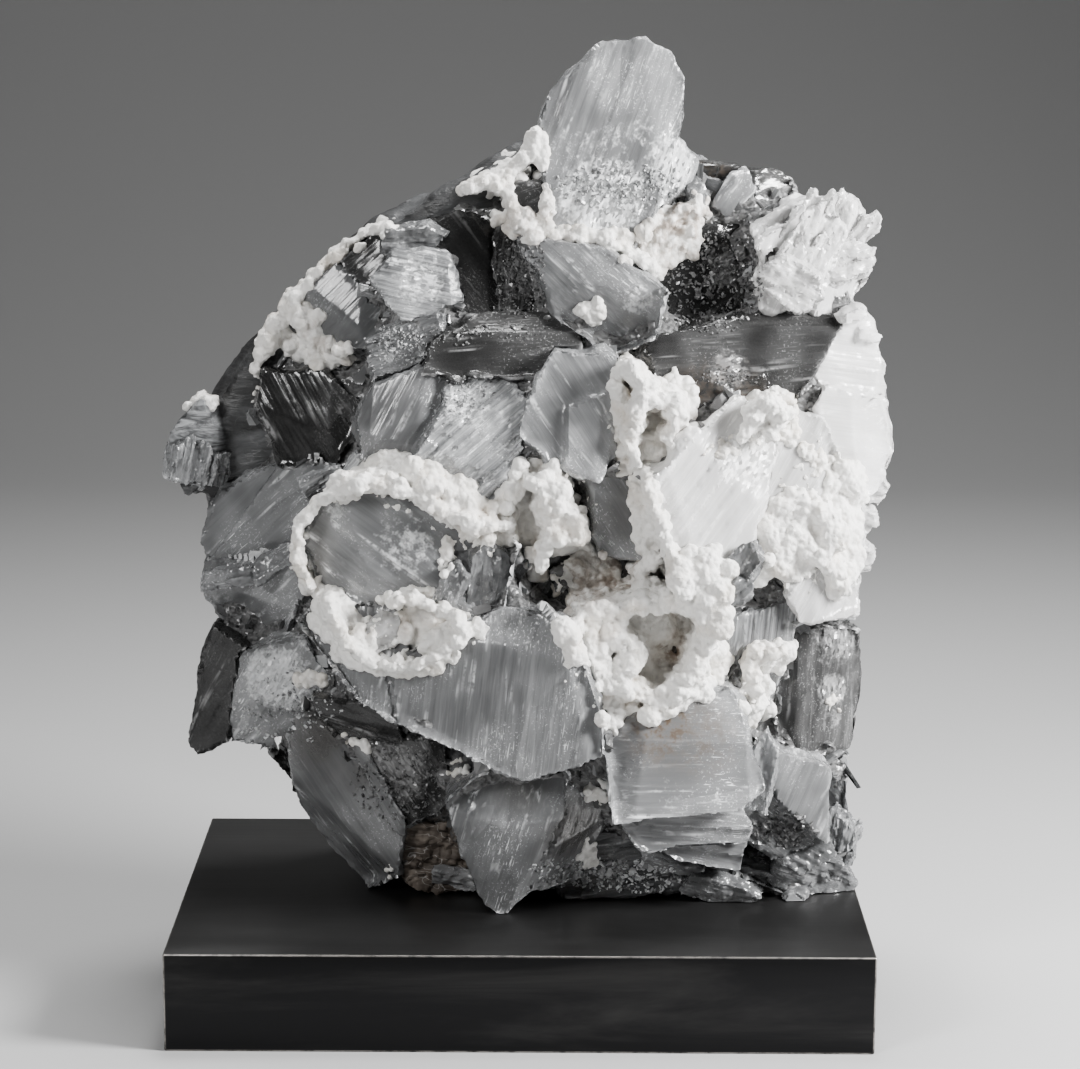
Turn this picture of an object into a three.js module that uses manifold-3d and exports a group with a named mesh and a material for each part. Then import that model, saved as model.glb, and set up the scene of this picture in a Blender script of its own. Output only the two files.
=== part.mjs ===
// Gypsum crystal cluster: selenite blades and white gypsum crusts on their host rock,
// standing on a rectangular display plinth. Millimetres, +Z up, origin at the centre of the
// plinth's underside, the best side of the cluster facing -Y.
import * as THREE from 'three';
import { ConvexGeometry } from 'three/addons/geometries/ConvexGeometry.js';
import { mergeVertices } from 'three/addons/utils/BufferGeometryUtils.js';
import Module from 'manifold-3d';

const wasm = await Module();
wasm.setup();

// Driving dimensions of the plinth.
const PLINTH_WIDTH = 356;
const PLINTH_DEPTH = 230;
const PLINTH_HEIGHT = 51;
const PLINTH_EDGE = 0.8;

// Where two pieces meet they keep this gap between their faces.
const CONTACT_GAP = 0.3;
// Corners closer together than this are one corner.
const SAME_POINT = 1e-4;
// Corners are told apart by this many decimal places.
const KEY_DIGITS = 3;
// The side of the cube of empty space that trims away everything below the resting height.
const SPACE_SIDE = 700;
// Two triangles whose normals have at least this dot product are one face.
const SAME_FACE = 0.999;
// At a sharp corner the faces' normals lean this far from the outward way at most, as a cosine.
const SHARPEST_REACH = 0.1;
// Rounds of improvement in the search for a corner's outward way.
const OUTWARD_STEPS = 40;
// The back outline of a blade is this much of its front outline, unless the blade says otherwise.
const BLADE_TAPER = 0.86;
// The back of a blade leans the other way from its front, this much as steeply.
const BACK_LEAN = 0.8;
// Each crust nodule is turned this much further about Z and X than the one before it, in radians.
const NODULE_TURN = 2.4;
// A cut leaves crumbs smaller than this volume, which are dropped.
const CRUMB_VOLUME = 30;

const FINISHES = {
  clear: new THREE.MeshStandardMaterial({ color: 0xa9abb0, roughness: 0.25, metalness: 0 }),
  frosted: new THREE.MeshStandardMaterial({ color: 0xc4c6cb, roughness: 0.45, metalness: 0 }),
  smoky: new THREE.MeshStandardMaterial({ color: 0x6d6a68, roughness: 0.3, metalness: 0 }),
  white: new THREE.MeshStandardMaterial({ color: 0xe9e8e4, roughness: 0.6, metalness: 0 }),
  crust: new THREE.MeshStandardMaterial({ color: 0xf2eee6, roughness: 0.85, metalness: 0 }),
  rock: new THREE.MeshStandardMaterial({ color: 0x54565a, roughness: 0.55, metalness: 0.1 }),
  earth: new THREE.MeshStandardMaterial({ color: 0x4d443c, roughness: 0.9, metalness: 0 }),
  steel: new THREE.MeshStandardMaterial({ color: 0x1d1d1f, roughness: 0.35, metalness: 0.9 }),
};

// Turns a closed geometry into a solid that can be joined and cut.
function toSolid(geometry) {
  const bare = geometry.index ? geometry.toNonIndexed() : geometry.clone();
  bare.deleteAttribute('normal');
  bare.deleteAttribute('uv');
  const merged = mergeVertices(bare, SAME_POINT);
  const mesh = new wasm.Mesh({
    numProp: 3,
    vertProperties: new Float32Array(merged.attributes.position.array),
    triVerts: new Uint32Array(merged.index.array),
  });
  mesh.merge();
  return new wasm.Manifold(mesh);
}

// Turns a solid back into a geometry.
function toGeometry(solid) {
  const mesh = solid.getMesh();
  const geometry = new THREE.BufferGeometry();
  geometry.setAttribute('position', new THREE.BufferAttribute(mesh.vertProperties, 3));
  geometry.setIndex(new THREE.BufferAttribute(mesh.triVerts, 1));
  geometry.computeVertexNormals();
  return geometry;
}

// Joins solids into one.
function join(solids) {
  return solids.reduce((sum, solid) => sum.add(solid));
}

// Keeps the biggest body of a solid that a cut has left in several.
function biggestBody(solid) {
  const bodies = solid.decompose().filter((body) => body.volume() > CRUMB_VOLUME);
  bodies.sort((one, other) => other.volume() - one.volume());
  return bodies[0];
}

// The corners of a convex body, each with the normals of the faces that meet there.
function cornersWithNormals(geometry) {
  const corners = new Map();
  const position = geometry.attributes.position;
  for (let first = 0; first < position.count; first += 3) {
    const triangle = [0, 1, 2].map((i) => new THREE.Vector3().fromBufferAttribute(position, first + i));
    const normal = new THREE.Triangle(...triangle).getNormal(new THREE.Vector3());
    for (const point of triangle) {
      const key = point.toArray().map((value) => value.toFixed(KEY_DIGITS)).join();
      if (!corners.has(key)) corners.set(key, { point, normals: [] });
      const { normals } = corners.get(key);
      if (normals.every((other) => other.dot(normal) < SAME_FACE)) normals.push(normal);
    }
  }
  return [...corners.values()];
}

// The way out of a corner that leans least from any of the faces that meet there.
function outwardFrom(normals) {
  const outward = new THREE.Vector3();
  for (const normal of normals) outward.add(normal);
  outward.normalize();
  for (let step = 1; step <= OUTWARD_STEPS; step += 1) {
    const leastMet = normals.reduce((least, normal) => (
      normal.dot(outward) < least.dot(outward) ? normal : least));
    outward.addScaledVector(leastMet, 1 / (step + 1)).normalize();
  }
  return outward;
}

// The convex body round a set of points, with every face moved out by at least `grow`.
function hull(points, grow) {
  const body = new ConvexGeometry(points);
  if (grow === 0) return toSolid(body);
  const grown = cornersWithNormals(body).map(({ point, normals }) => {
    const outward = outwardFrom(normals);
    const reach = Math.min(...normals.map((normal) => normal.dot(outward)));
    return point.clone().addScaledVector(outward, grow / Math.max(reach, SHARPEST_REACH));
  });
  return toSolid(new ConvexGeometry(grown));
}

// A cleavage blade of selenite. `outline` is its front face as [x, z] corners, `front` the y of
// that face's middle, and `lean` how far the face goes back per millimetre along x and z.
function blade({ outline, front, lean = [0, 0], depth, taper = BLADE_TAPER }) {
  const midX = outline.reduce((sum, [x]) => sum + x, 0) / outline.length;
  const midZ = outline.reduce((sum, [, z]) => sum + z, 0) / outline.length;
  const points = [];
  for (const [x, z] of outline) {
    const slope = lean[0] * (x - midX) + lean[1] * (z - midZ);
    const backX = midX + taper * (x - midX);
    const backZ = midZ + taper * (z - midZ);
    points.push(new THREE.Vector3(x, front + slope, z));
    points.push(new THREE.Vector3(backX, front + depth - BACK_LEAN * slope, backZ));
  }
  return (grow) => hull(points, grow);
}

// The corners of one rounded knob of crust and of its root, which is `root` behind it.
function noduleCorners([x, z, radius], front, root, turn) {
  const knob = new THREE.IcosahedronGeometry(radius, 0);
  knob.rotateZ(turn * NODULE_TURN).rotateX(turn * NODULE_TURN).translate(x, front, z);
  const base = new THREE.OctahedronGeometry(radius, 0).translate(x, front + root, z);
  const corners = [];
  for (const { attributes: { position } } of [knob, base]) {
    for (let i = 0; i < position.count; i += 1) {
      corners.push(new THREE.Vector3().fromBufferAttribute(position, i));
    }
  }
  return corners;
}

// Nodules grown together along a chain of [x, z, radius], whose middles are at depth `front`
// and whose roots reach `root` further back.
function chain(front, root, places) {
  return places.slice(1).map((place, index) => {
    const corners = [
      ...noduleCorners(places[index], front, root, index),
      ...noduleCorners(place, front, root, index + 1),
    ];
    return (grow) => hull(corners, grow);
  });
}

// The blades, from the front of the cluster to its back: where two meet, the later one is cut.
const CRYSTALS = [
  {
    name: 'apron_crystal', finish: 'clear', parts: [
      blade({
        outline: [[-41, 206], [-16, 215], [11, 221], [27, 203], [41, 166], [42, 146], [24, 138],
          [2, 131], [-39, 149], [-64, 160], [-69, 186]],
        front: -80, lean: [-0.10, 0.10], depth: 62,
      }),
      blade({
        outline: [[-116, 206], [-97, 220], [-58, 214], [-56, 158], [-64, 158], [-82, 167]],
        front: -63, lean: [-0.35, 0.20], depth: 48,
      }),
    ],
  },
  {
    name: 'centre_bright_crystal', finish: 'white', parts: [
      blade({
        outline: [[60, 281], [109, 325], [130, 298], [117, 249], [100, 203], [84, 220]],
        front: -62, lean: [0.28, 0.15], depth: 55,
      }),
    ],
  },
  {
    name: 'centre_crystal', finish: 'clear', parts: [
      blade({
        outline: [[-2, 303], [1, 319], [16, 346], [46, 343], [39, 328], [44, 293], [40, 279], [22, 286]],
        front: -54, lean: [0.05, 0.20], depth: 55,
      }),
      blade({
        outline: [[38, 330], [52, 318], [60, 284], [66, 239], [39, 239], [34, 279]],
        front: -44, lean: [0.20, 0.10], depth: 44,
      }),
    ],
  },
  {
    name: 'silver_crystal', finish: 'frosted', parts: [
      blade({
        outline: [[-55, 290], [-29, 332], [-7, 330], [4, 312], [-2, 286], [-7, 268], [-46, 278]],
        front: -50, lean: [0.02, 0.30], depth: 55,
      }),
    ],
  },
  {
    name: 'stack_upper_crystal', finish: 'clear', parts: [
      blade({
        outline: [[41, 152], [88, 171], [107, 176], [115, 155], [125, 121], [113, 111], [46, 107]],
        front: -66, lean: [0.18, 0.10], depth: 50,
      }),
    ],
  },
  {
    name: 'stack_middle_crystal', finish: 'clear', parts: [
      blade({
        outline: [[46, 107], [113, 112], [121, 98], [117, 90], [62, 88]],
        front: -57, lean: [0.18, 0.10], depth: 46,
      }),
    ],
  },
  {
    name: 'stack_lower_crystal', finish: 'clear', parts: [
      blade({
        outline: [[53, 98], [119, 92], [114, 72], [80, 80]],
        front: -49, lean: [0.18, 0.10], depth: 44,
      }),
    ],
  },
  {
    name: 'front_point_crystal', finish: 'clear', parts: [
      blade({
        outline: [[-40, 116], [-21, 133], [26, 133], [21, 108], [5, 61], [-10, 50], [-20, 56]],
        front: -63, lean: [0, -0.25], depth: 60,
      }),
      blade({
        outline: [[20, 129], [38, 114], [44, 99], [27, 62], [5, 61], [21, 105]],
        front: -52, lean: [0.60, -0.20], depth: 55,
      }),
    ],
  },
  {
    name: 'framed_crystal', finish: 'clear', parts: [
      blade({
        outline: [[-112, 248], [-92, 279], [-41, 266], [-1, 250], [-11, 212], [-61, 186], [-102, 216]],
        front: -57, lean: [-0.16, 0.15], depth: 55,
      }),
      blade({
        outline: [[-39, 241], [-16, 250], [2, 244], [-2, 215], [-31, 208]],
        front: -61, lean: [0.25, 0.10], depth: 40,
      }),
    ],
  },
  {
    name: 'rounded_crystal', finish: 'clear', parts: [
      blade({
        outline: [[-85, 308], [-76, 326], [-52, 335], [-36, 330], [-42, 300], [-67, 280], [-83, 290]],
        front: -40, lean: [-0.20, 0.25], depth: 50,
      }),
    ],
  },
  {
    name: 'smoky_crystal', finish: 'smoky', parts: [
      blade({
        outline: [[61, 350], [123, 362], [164, 358], [147, 328], [126, 304], [69, 318]],
        front: -30, lean: [0.15, 0.35], depth: 58,
      }),
      blade({
        outline: [[86, 330], [124, 334], [124, 296], [88, 294]],
        front: -42, lean: [0.1, 0], depth: 48,
      }),
    ],
  },
  {
    name: 'wedge_crystal', finish: 'clear', parts: [
      blade({
        outline: [[-4, 399], [39, 395], [73, 374], [66, 348], [46, 343], [18, 358]],
        front: -31, lean: [-0.10, 0.25], depth: 52,
      }),
    ],
  },
  {
    name: 'upper_slab_crystal', finish: 'smoky', parts: [
      blade({
        outline: [[-47, 346], [-22, 360], [12, 362], [30, 352], [28, 333], [-27, 327], [-52, 331]],
        front: -33, lean: [0, 0.50], depth: 50,
      }),
    ],
  },
  {
    name: 'frosted_upper_crystal', finish: 'frosted', parts: [
      blade({
        outline: [[-67, 392], [-38, 391], [-29, 366], [-50, 362], [-61, 357], [-77, 376]],
        front: -21, lean: [0, 0.30], depth: 50,
      }),
    ],
  },
  {
    name: 'upper_left_crystal', finish: 'clear', parts: [
      blade({
        outline: [[-116, 362], [-96, 383], [-81, 367], [-68, 356], [-80, 342], [-97, 337], [-108, 348]],
        front: -9, lean: [-0.30, 0.30], depth: 48,
      }),
    ],
  },
  {
    name: 'granular_grey_crystal', finish: 'frosted', parts: [
      blade({
        outline: [[-80, 346], [-52, 362], [-40, 358], [-44, 330], [-77, 325]],
        front: -26, lean: [-0.20, 0.40], depth: 45,
      }),
    ],
  },
  {
    name: 'upper_dark_wedge', finish: 'smoky', parts: [
      blade({
        outline: [[-94, 384], [-77, 398], [-66, 391], [-78, 370]],
        front: -3, lean: [-0.20, 0.30], depth: 36,
      }),
    ],
  },
  {
    name: 'upper_dark_crystal', finish: 'smoky', parts: [
      blade({
        outline: [[-68, 398], [-50, 405], [-28, 412], [-8, 402], [-12, 362], [-32, 360]],
        front: -7, lean: [0, 0.35], depth: 44,
      }),
    ],
  },
  {
    name: 'upper_sparkling_crystal', finish: 'smoky', parts: [
      blade({
        outline: [[-16, 404], [12, 402], [28, 372], [6, 354], [-14, 360]],
        front: -14, lean: [0.10, 0.30], depth: 46,
      }),
    ],
  },
  {
    name: 'left_dark_crystal', finish: 'smoky', parts: [
      blade({
        outline: [[-135, 327], [-102, 329], [-85, 315], [-89, 292], [-95, 279], [-126, 278], [-138, 311]],
        front: -12, lean: [-0.35, 0.20], depth: 48,
      }),
    ],
  },
  {
    name: 'left_upper_crystal', finish: 'clear', parts: [
      blade({
        outline: [[-172, 233], [-163, 259], [-146, 273], [-106, 288], [-95, 280], [-104, 264],
          [-118, 240], [-130, 226], [-166, 225]],
        front: -8, lean: [-0.50, 0.10], depth: 56,
      }),
    ],
  },
  {
    name: 'left_lower_crystal', finish: 'clear', parts: [
      blade({
        outline: [
          [-167, 227], [-118, 238], [-110, 216], [-123, 192],
          [-142, 180], [-162, 191], [-170, 208],
        ],
        front: -4, lean: [-0.50, -0.15], depth: 56,
      }),
      blade({
        outline: [[-160, 224], [-124, 236], [-110, 196], [-132, 170], [-156, 184]],
        front: 32, lean: [-0.20, 0], depth: 34,
      }),
    ],
  },
  {
    name: 'low_left_crystal', finish: 'clear', parts: [
      blade({
        outline: [[-156, 127], [-148, 178], [-112, 192], [-96, 164], [-110, 140], [-135, 125]],
        front: -14, lean: [-0.30, -0.15], depth: 58,
      }),
    ],
  },
  {
    name: 'low_left_dark_crystal', finish: 'smoky', parts: [
      blade({
        outline: [[-179, 124], [-177, 144], [-162, 194], [-138, 180], [-148, 133], [-173, 118]],
        front: 2, lean: [-0.40, -0.10], depth: 50,
      }),
    ],
  },
  {
    name: 'small_dark_crystal', finish: 'smoky', parts: [
      blade({
        outline: [[-112, 163], [-64, 160], [-60, 138], [-96, 140]],
        front: -40, lean: [-0.20, -0.20], depth: 44,
      }),
    ],
  },
  {
    name: 'under_apron_crystal', finish: 'smoky', parts: [
      blade({
        outline: [[-88, 138], [-40, 144], [-36, 112], [-44, 96], [-66, 88]],
        front: -34, lean: [-0.20, -0.20], depth: 50,
      }),
    ],
  },
  {
    name: 'left_foot_crystal', finish: 'clear', parts: [
      blade({
        outline: [
          [-123, 125], [-117, 92], [-100, 68], [-84, 50],
          [-66, 60], [-60, 95], [-86, 146], [-118, 152],
        ],
        front: -22, lean: [-0.35, -0.25], depth: 56,
      }),
      blade({
        outline: [[-112, 124], [-70, 134], [-58, 66], [-84, 52], [-106, 84]],
        front: 26, lean: [-0.15, 0], depth: 40,
      }),
    ],
  },
  {
    name: 'frosted_right_crystal', finish: 'frosted', parts: [
      blade({
        outline: [[99, 206], [142, 216], [140, 192], [128, 160], [112, 164], [99, 186]],
        front: -42, lean: [0.20, 0.10], depth: 50,
      }),
    ],
  },
  {
    name: 'right_dark_crystal', finish: 'smoky', parts: [
      blade({
        outline: [[139, 200], [176, 194], [179, 165], [175, 130], [146, 115], [129, 152]],
        front: -18, lean: [0.25, 0], depth: 58,
      }),
      blade({
        outline: [[130, 188], [166, 192], [174, 146], [150, 112], [124, 146]],
        front: 28, lean: [0.15, 0], depth: 36,
      }),
    ],
  },
  {
    name: 'right_plate_crystal', finish: 'clear', parts: [
      blade({
        outline: [[124, 140], [160, 126], [160, 84], [132, 108]],
        front: -38, lean: [0.20, 0], depth: 36,
      }),
    ],
  },
  {
    name: 'right_foot_crystal', finish: 'clear', parts: [
      blade({
        outline: [[140, 118], [170, 132], [179, 108], [178, 70], [164, 57], [136, 57], [128, 90]],
        front: -20, lean: [0.20, -0.15], depth: 62,
      }),
      blade({
        outline: [[112, 66], [118, 102], [156, 82], [164, 60], [140, 52]],
        front: -28, lean: [0.10, -0.15], depth: 50,
      }),
      blade({
        outline: [[96, 96], [150, 104], [168, 72], [150, 52], [100, 52]],
        front: 30, lean: [0.10, 0], depth: 42,
      }),
    ],
  },
  {
    name: 'white_fan_crystal', finish: 'white', parts: [
      blade({
        outline: [[160, 357], [173, 360], [181, 351], [190, 310], [178, 295], [154, 319], [147, 330]],
        front: -14, lean: [0.35, 0.15], depth: 58,
      }),
      blade({
        outline: [[148, 314], [154, 324], [188, 316], [194, 288], [184, 267], [168, 263]],
        front: -20, lean: [0.35, 0], depth: 60,
      }),
      blade({
        outline: [[138, 340], [172, 334], [184, 296], [160, 262], [134, 292]],
        front: 30, lean: [0.20, 0], depth: 34,
      }),
    ],
  },
  {
    name: 'white_flank_crystal', finish: 'white', parts: [
      blade({
        outline: [
          [122, 318], [152, 308], [170, 277], [176, 259],
          [172, 242], [174, 206], [142, 204], [118, 262],
        ],
        front: -34, lean: [0.25, 0.10], depth: 62,
      }),
    ],
  },
  {
    name: 'spiky_crystal', finish: 'white', parts: [
      blade({
        outline: [[114, 403], [134, 414], [150, 413], [172, 419], [177, 401], [167, 383], [122, 379]],
        front: -6, lean: [0.25, 0.15], depth: 56,
      }),
      blade({
        outline: [[119, 385], [166, 397], [179, 375], [167, 366], [164, 359], [119, 363]],
        front: -12, lean: [0.30, -0.10], depth: 58,
      }),
    ],
  },
  {
    name: 'upper_right_dark_crystal', finish: 'smoky', parts: [
      blade({
        outline: [[64, 394], [90, 406], [120, 402], [127, 381], [126, 356], [66, 348]],
        front: -2, lean: [0.10, 0.20], depth: 50,
      }),
    ],
  },
  {
    name: 'crown_crystal', finish: 'clear', parts: [
      blade({
        outline: [[11, 404], [7, 458], [13, 471], [25, 483], [39, 494], [60, 498], [74, 491],
          [82, 478], [80, 452], [62, 398]],
        front: -8, lean: [0.05, 0.12], depth: 60,
      }),
      blade({
        outline: [[44, 396], [59, 457], [76, 451], [89, 436], [86, 426], [62, 404]],
        front: -2, lean: [0.45, 0.10], depth: 50,
      }),
    ],
  },
  {
    name: 'crown_foot_prism', finish: 'smoky', parts: [
      blade({
        outline: [[-6, 424], [14, 427], [15, 411], [-3, 405]],
        front: -15, lean: [-0.20, 0.10], depth: 26,
      }),
    ],
  },
  {
    name: 'summit_dark_crystal', finish: 'smoky', parts: [
      blade({
        outline: [[84, 436], [129, 430], [141, 424], [140, 411], [128, 392], [84, 384]],
        front: 18, lean: [0.10, 0.20], depth: 46,
      }),
      blade({
        outline: [[62, 420], [106, 426], [130, 408], [112, 372], [66, 376]],
        front: 46, lean: [0.10, 0], depth: 30,
      }),
    ],
  },
];

// Dark crystals deep in the cluster, which show in the gaps between the blades.
const INNER_CRYSTALS = [
  {
    name: 'inner_centre_crystal', finish: 'smoky', parts: [
      blade({
        outline: [[-60, 236], [0, 306], [78, 312], [112, 250], [104, 150], [30, 146], [-50, 180]],
        front: -36, lean: [0.05, 0.05], depth: 44, taper: 1,
      }),
    ],
  },
  {
    name: 'inner_right_crystal', finish: 'frosted', parts: [
      blade({
        outline: [[92, 310], [142, 300], [152, 222], [134, 190], [126, 104], [108, 104], [92, 200]],
        front: -16, lean: [0.15, 0], depth: 23, taper: 1,
      }),
    ],
  },
];

// Stones that carry the crystals, and loose or low pieces at the foot.
const LOW_PIECES = [
  {
    name: 'low_rubble_crystal', finish: 'frosted', parts: [
      blade({
        outline: [[2, 84], [30, 90], [90, 90], [116, 80], [112, 60], [70, 53], [20, 52]],
        front: -30, lean: [0.05, -0.15], depth: 60, taper: 0.95,
      }),
    ],
  },
  {
    name: 'earthy_rock', finish: 'earth', parts: [
      blade({
        outline: [[-64, 92], [-30, 92], [-22, 70], [-26, 54], [-44, 51.5], [-62, 56]],
        front: -22, lean: [0, -0.10], depth: 62, taper: 0.95,
      }),
    ],
  },
];

// White botryoidal crusts: nodules grown together on the blades and in the gaps between them.
const CRUSTS = [
  {
    name: 'crown_crust', parts: [
      ...chain(-12, 12, [[-32, 421, 4.5], [-20, 427, 6.5], [-8, 430, 7], [3, 441, 7], [6, 450, 4.5]]),
      ...chain(-14, 12, [[-20, 427, 6], [-8, 422, 6.5], [-2, 408, 5], [12, 399, 6], [37, 397, 5.5],
        [59, 387, 5.5], [67, 382, 5]]),
    ],
  },
  {
    name: 'crown_right_crust',
    parts: chain(-2, 18, [[68, 398, 6.5], [76, 411, 7], [90, 410, 6.5], [84, 398, 7], [80, 387, 6]]),
  },
  {
    name: 'rim_crust', parts: [
      ...chain(4, 14, [[-70, 402, 4.5], [-92, 390, 5], [-104, 378, 5], [-118, 366, 6],
        [-131, 347, 6], [-139, 327, 4.5]]),
      ...chain(0, 14, [[-118, 364, 6], [-114, 351, 7], [-107, 339, 7]]),
    ],
  },
  { name: 'knob_crust', parts: chain(4, 14, [[-175, 304, 5.5], [-168, 310, 6], [-163, 307, 5]]) },
  {
    name: 'popcorn_crust', parts: [
      ...chain(-58, 34, [[53, 337, 8.5], [62, 329, 7.5], [57, 317, 9], [53, 303, 8.5], [57, 291, 6.5]]),
      ...chain(-55, 30, [[61, 322, 7], [75, 322, 8], [78, 310, 7], [71, 303, 5.5]]),
    ],
  },
  {
    name: 'arc_crust', parts: [
      ...chain(-59, 20, [[-88, 277, 6], [-75, 280, 6.5], [-63, 279, 7], [-42, 267, 8], [-24, 260, 8.5],
        [-7, 258, 7]]),
      ...chain(-54, 18, [[-88, 277, 6], [-104, 267, 5], [-114, 253, 5], [-114, 240, 5], [-108, 225, 5.5]]),
    ],
  },
  {
    name: 'block_crust', parts: chain(-60, 34, [[5, 280, 8.5], [20, 277, 9], [12, 265, 10], [27, 263, 8],
      [29, 252, 7], [15, 253, 8], [9, 243, 5.5], [10, 235, 4.5]]),
  },
  {
    name: 'loop_crust', parts: chain(-70, 16, [[-65, 220, 5], [-56, 223, 5.5], [-44, 219, 6],
      [-33, 213, 7], [-26, 206, 7], [-37, 197, 6.5], [-49, 190, 6], [-62, 187, 6], [-74, 189, 6],
      [-85, 196, 6.5], [-92, 207, 7.5], [-97, 220, 6.5]]),
  },
  {
    name: 'mass_crust', parts: [
      ...chain(-64, 40, [[30, 213, 9], [50, 218, 9.5], [70, 222, 8.5], [88, 220, 9], [96, 209, 8.5],
        [86, 180, 9.5], [70, 169, 8.5], [54, 175, 9], [40, 180, 8.5], [34, 202, 8.5]]),
      ...chain(-62, 40, [[46, 205, 10], [58, 192, 10], [50, 183, 9]]),
      ...chain(-56, 34, [[70, 222, 7], [58, 232, 6.5], [66, 240, 6]]),
      ...chain(-58, 30, [[57, 174, 8], [46, 163, 6.5], [44, 154, 5]]),
    ],
  },
  {
    name: 'bright_cap_crust', parts: chain(-56, 26, [[109, 299, 5.5], [115, 313, 8], [124, 321, 7],
      [131, 314, 7.5], [124, 304, 6.5]]),
  },
  {
    name: 'right_crust', parts: [
      ...chain(-42, 24, [[128, 264, 7.5], [141, 268, 8.5], [152, 262, 8.5], [161, 249, 8.5],
        [151, 241, 8.5], [138, 251, 8], [128, 238, 7.5], [120, 226, 5]]),
      ...chain(-38, 24, [[151, 241, 8], [160, 229, 7], [165, 220, 5.5]]),
    ],
  },
  {
    name: 'lower_right_crust', parts: chain(-46, 22, [[135, 191, 5], [128, 188, 7], [116, 190, 6.5],
      [118, 177, 6], [121, 163, 6.5], [117, 153, 5]]),
  },
];

// The host rock: a smooth domed rind behind the crystals, as rings of [x, z] corners that
// shrink and drift as they go back.
const HOST_OUTLINE = [[-174, 282], [-164, 306], [-146, 336], [-118, 370], [-78, 404], [-34, 428],
  [8, 450], [58, 456], [104, 430], [146, 392], [164, 330], [166, 190], [146, 92], [116, 52],
  [-72, 52], [-112, 86], [-146, 150]];
const HOST_MIDDLE = [0, 240];
const HOST_RINGS = [
  { y: 12, scale: 0.97, drift: [0, 0] },
  { y: 34, scale: 1, drift: [0, 0] },
  { y: 58, scale: 0.90, drift: [-5, 5] },
  { y: 75, scale: 0.70, drift: [-16, 18] },
  { y: 84, scale: 0.40, drift: [-28, 34] },
];
// The rock's free knob at its left end.
const KNOB_POINTS = [[-188, 2, 284], [-180, -2, 300], [-166, -2, 312], [-158, 2, 292], [-164, 0, 268],
  [-176, -2, 259], [-186, 2, 270], [-176, 34, 296], [-150, 44, 300], [-150, 44, 262], [-172, 36, 264]];

function hostRock() {
  const dome = [];
  for (const { y, scale, drift } of HOST_RINGS) {
    for (const [x, z] of HOST_OUTLINE) {
      const ringX = HOST_MIDDLE[0] + drift[0] + scale * (x - HOST_MIDDLE[0]);
      const ringZ = HOST_MIDDLE[1] + drift[1] + scale * (z - HOST_MIDDLE[1]);
      dome.push(new THREE.Vector3(ringX, y, Math.max(PLINTH_HEIGHT + CONTACT_GAP, ringZ)));
    }
  }
  const knob = KNOB_POINTS.map(([x, y, z]) => new THREE.Vector3(x, y, z));
  return (grow) => join([hull(dome, grow), hull(knob, grow)]);
}

// The chip that has come off and lies in front of the right foot.
const CHIP_POINTS = [
  [138, -30, 0], [149, -28, 0], [151, -20, 0], [140, -19, 0], [142, -26, 4.2], [146, -22, 3.4],
];

function chip() {
  const bottom = PLINTH_HEIGHT + CONTACT_GAP;
  const points = CHIP_POINTS.map(([x, y, z]) => new THREE.Vector3(x, y, bottom + z));
  return (grow) => hull(points, grow);
}

// The plinth: a plain block whose upper and side edges are just broken.
function plinth() {
  const shape = new THREE.Shape();
  const halfX = PLINTH_WIDTH / 2 - PLINTH_EDGE;
  const halfY = PLINTH_DEPTH / 2 - PLINTH_EDGE;
  shape.moveTo(-halfX, -halfY);
  shape.lineTo(halfX, -halfY);
  shape.lineTo(halfX, halfY);
  shape.lineTo(-halfX, halfY);
  shape.closePath();
  const block = new THREE.ExtrudeGeometry(shape, {
    depth: PLINTH_HEIGHT - 2 * PLINTH_EDGE,
    bevelEnabled: true,
    bevelThickness: PLINTH_EDGE,
    bevelSize: PLINTH_EDGE,
    bevelSegments: 1,
  });
  return block.translate(0, 0, PLINTH_EDGE);
}

// Everything above the plinth's top, with the contact gap kept.
function aboveThePlinth() {
  const bottom = PLINTH_HEIGHT + CONTACT_GAP;
  const space = new THREE.BoxGeometry(SPACE_SIDE, SPACE_SIDE, SPACE_SIDE);
  return toSolid(space.translate(0, 0, bottom + SPACE_SIDE / 2));
}

const cluster = new THREE.Group();

function addMesh(name, geometry, finish) {
  const mesh = new THREE.Mesh(geometry, FINISHES[finish].clone());
  mesh.name = name;
  cluster.add(mesh);
}

// Cuts each piece clear of the ones before it, and adds what is left of it.
function addPieces(pieces) {
  const room = aboveThePlinth();
  const placed = [];
  for (const { name, finish, parts } of pieces) {
    let solid = join(parts.map((part) => part(0))).intersect(room);
    for (const neighbour of placed) solid = solid.subtract(neighbour);
    addMesh(name, toGeometry(biggestBody(solid)), finish);
    placed.push(join(parts.map((part) => part(CONTACT_GAP))));
  }
}

addMesh('display_plinth', plinth(), 'steel');
addPieces([
  ...CRYSTALS,
  ...LOW_PIECES,
  { name: 'loose_chip', finish: 'clear', parts: [chip()] },
  ...INNER_CRYSTALS,
  { name: 'host_rock', finish: 'rock', parts: [hostRock()] },
  ...CRUSTS.map((crust) => ({ ...crust, finish: 'crust' })),
]);

export default cluster;
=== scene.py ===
"""Finished surfaces of a gypsum crystal cluster that stands on a black steel plinth.

Every crystal, crust and stone of the frame gets its broken, striated or knobbly surface, and the
plinth its brushed and blackened skin. Lengths in the tables are in millimetres and angles in
degrees, and the meshes are in metres.
"""

import logging
import math
import random
from collections.abc import Iterable
from dataclasses import dataclass, field, replace
from enum import Enum

import bpy
import numpy as np
from mathutils import Matrix, Vector
from mathutils.bvhtree import BVHTree


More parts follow.
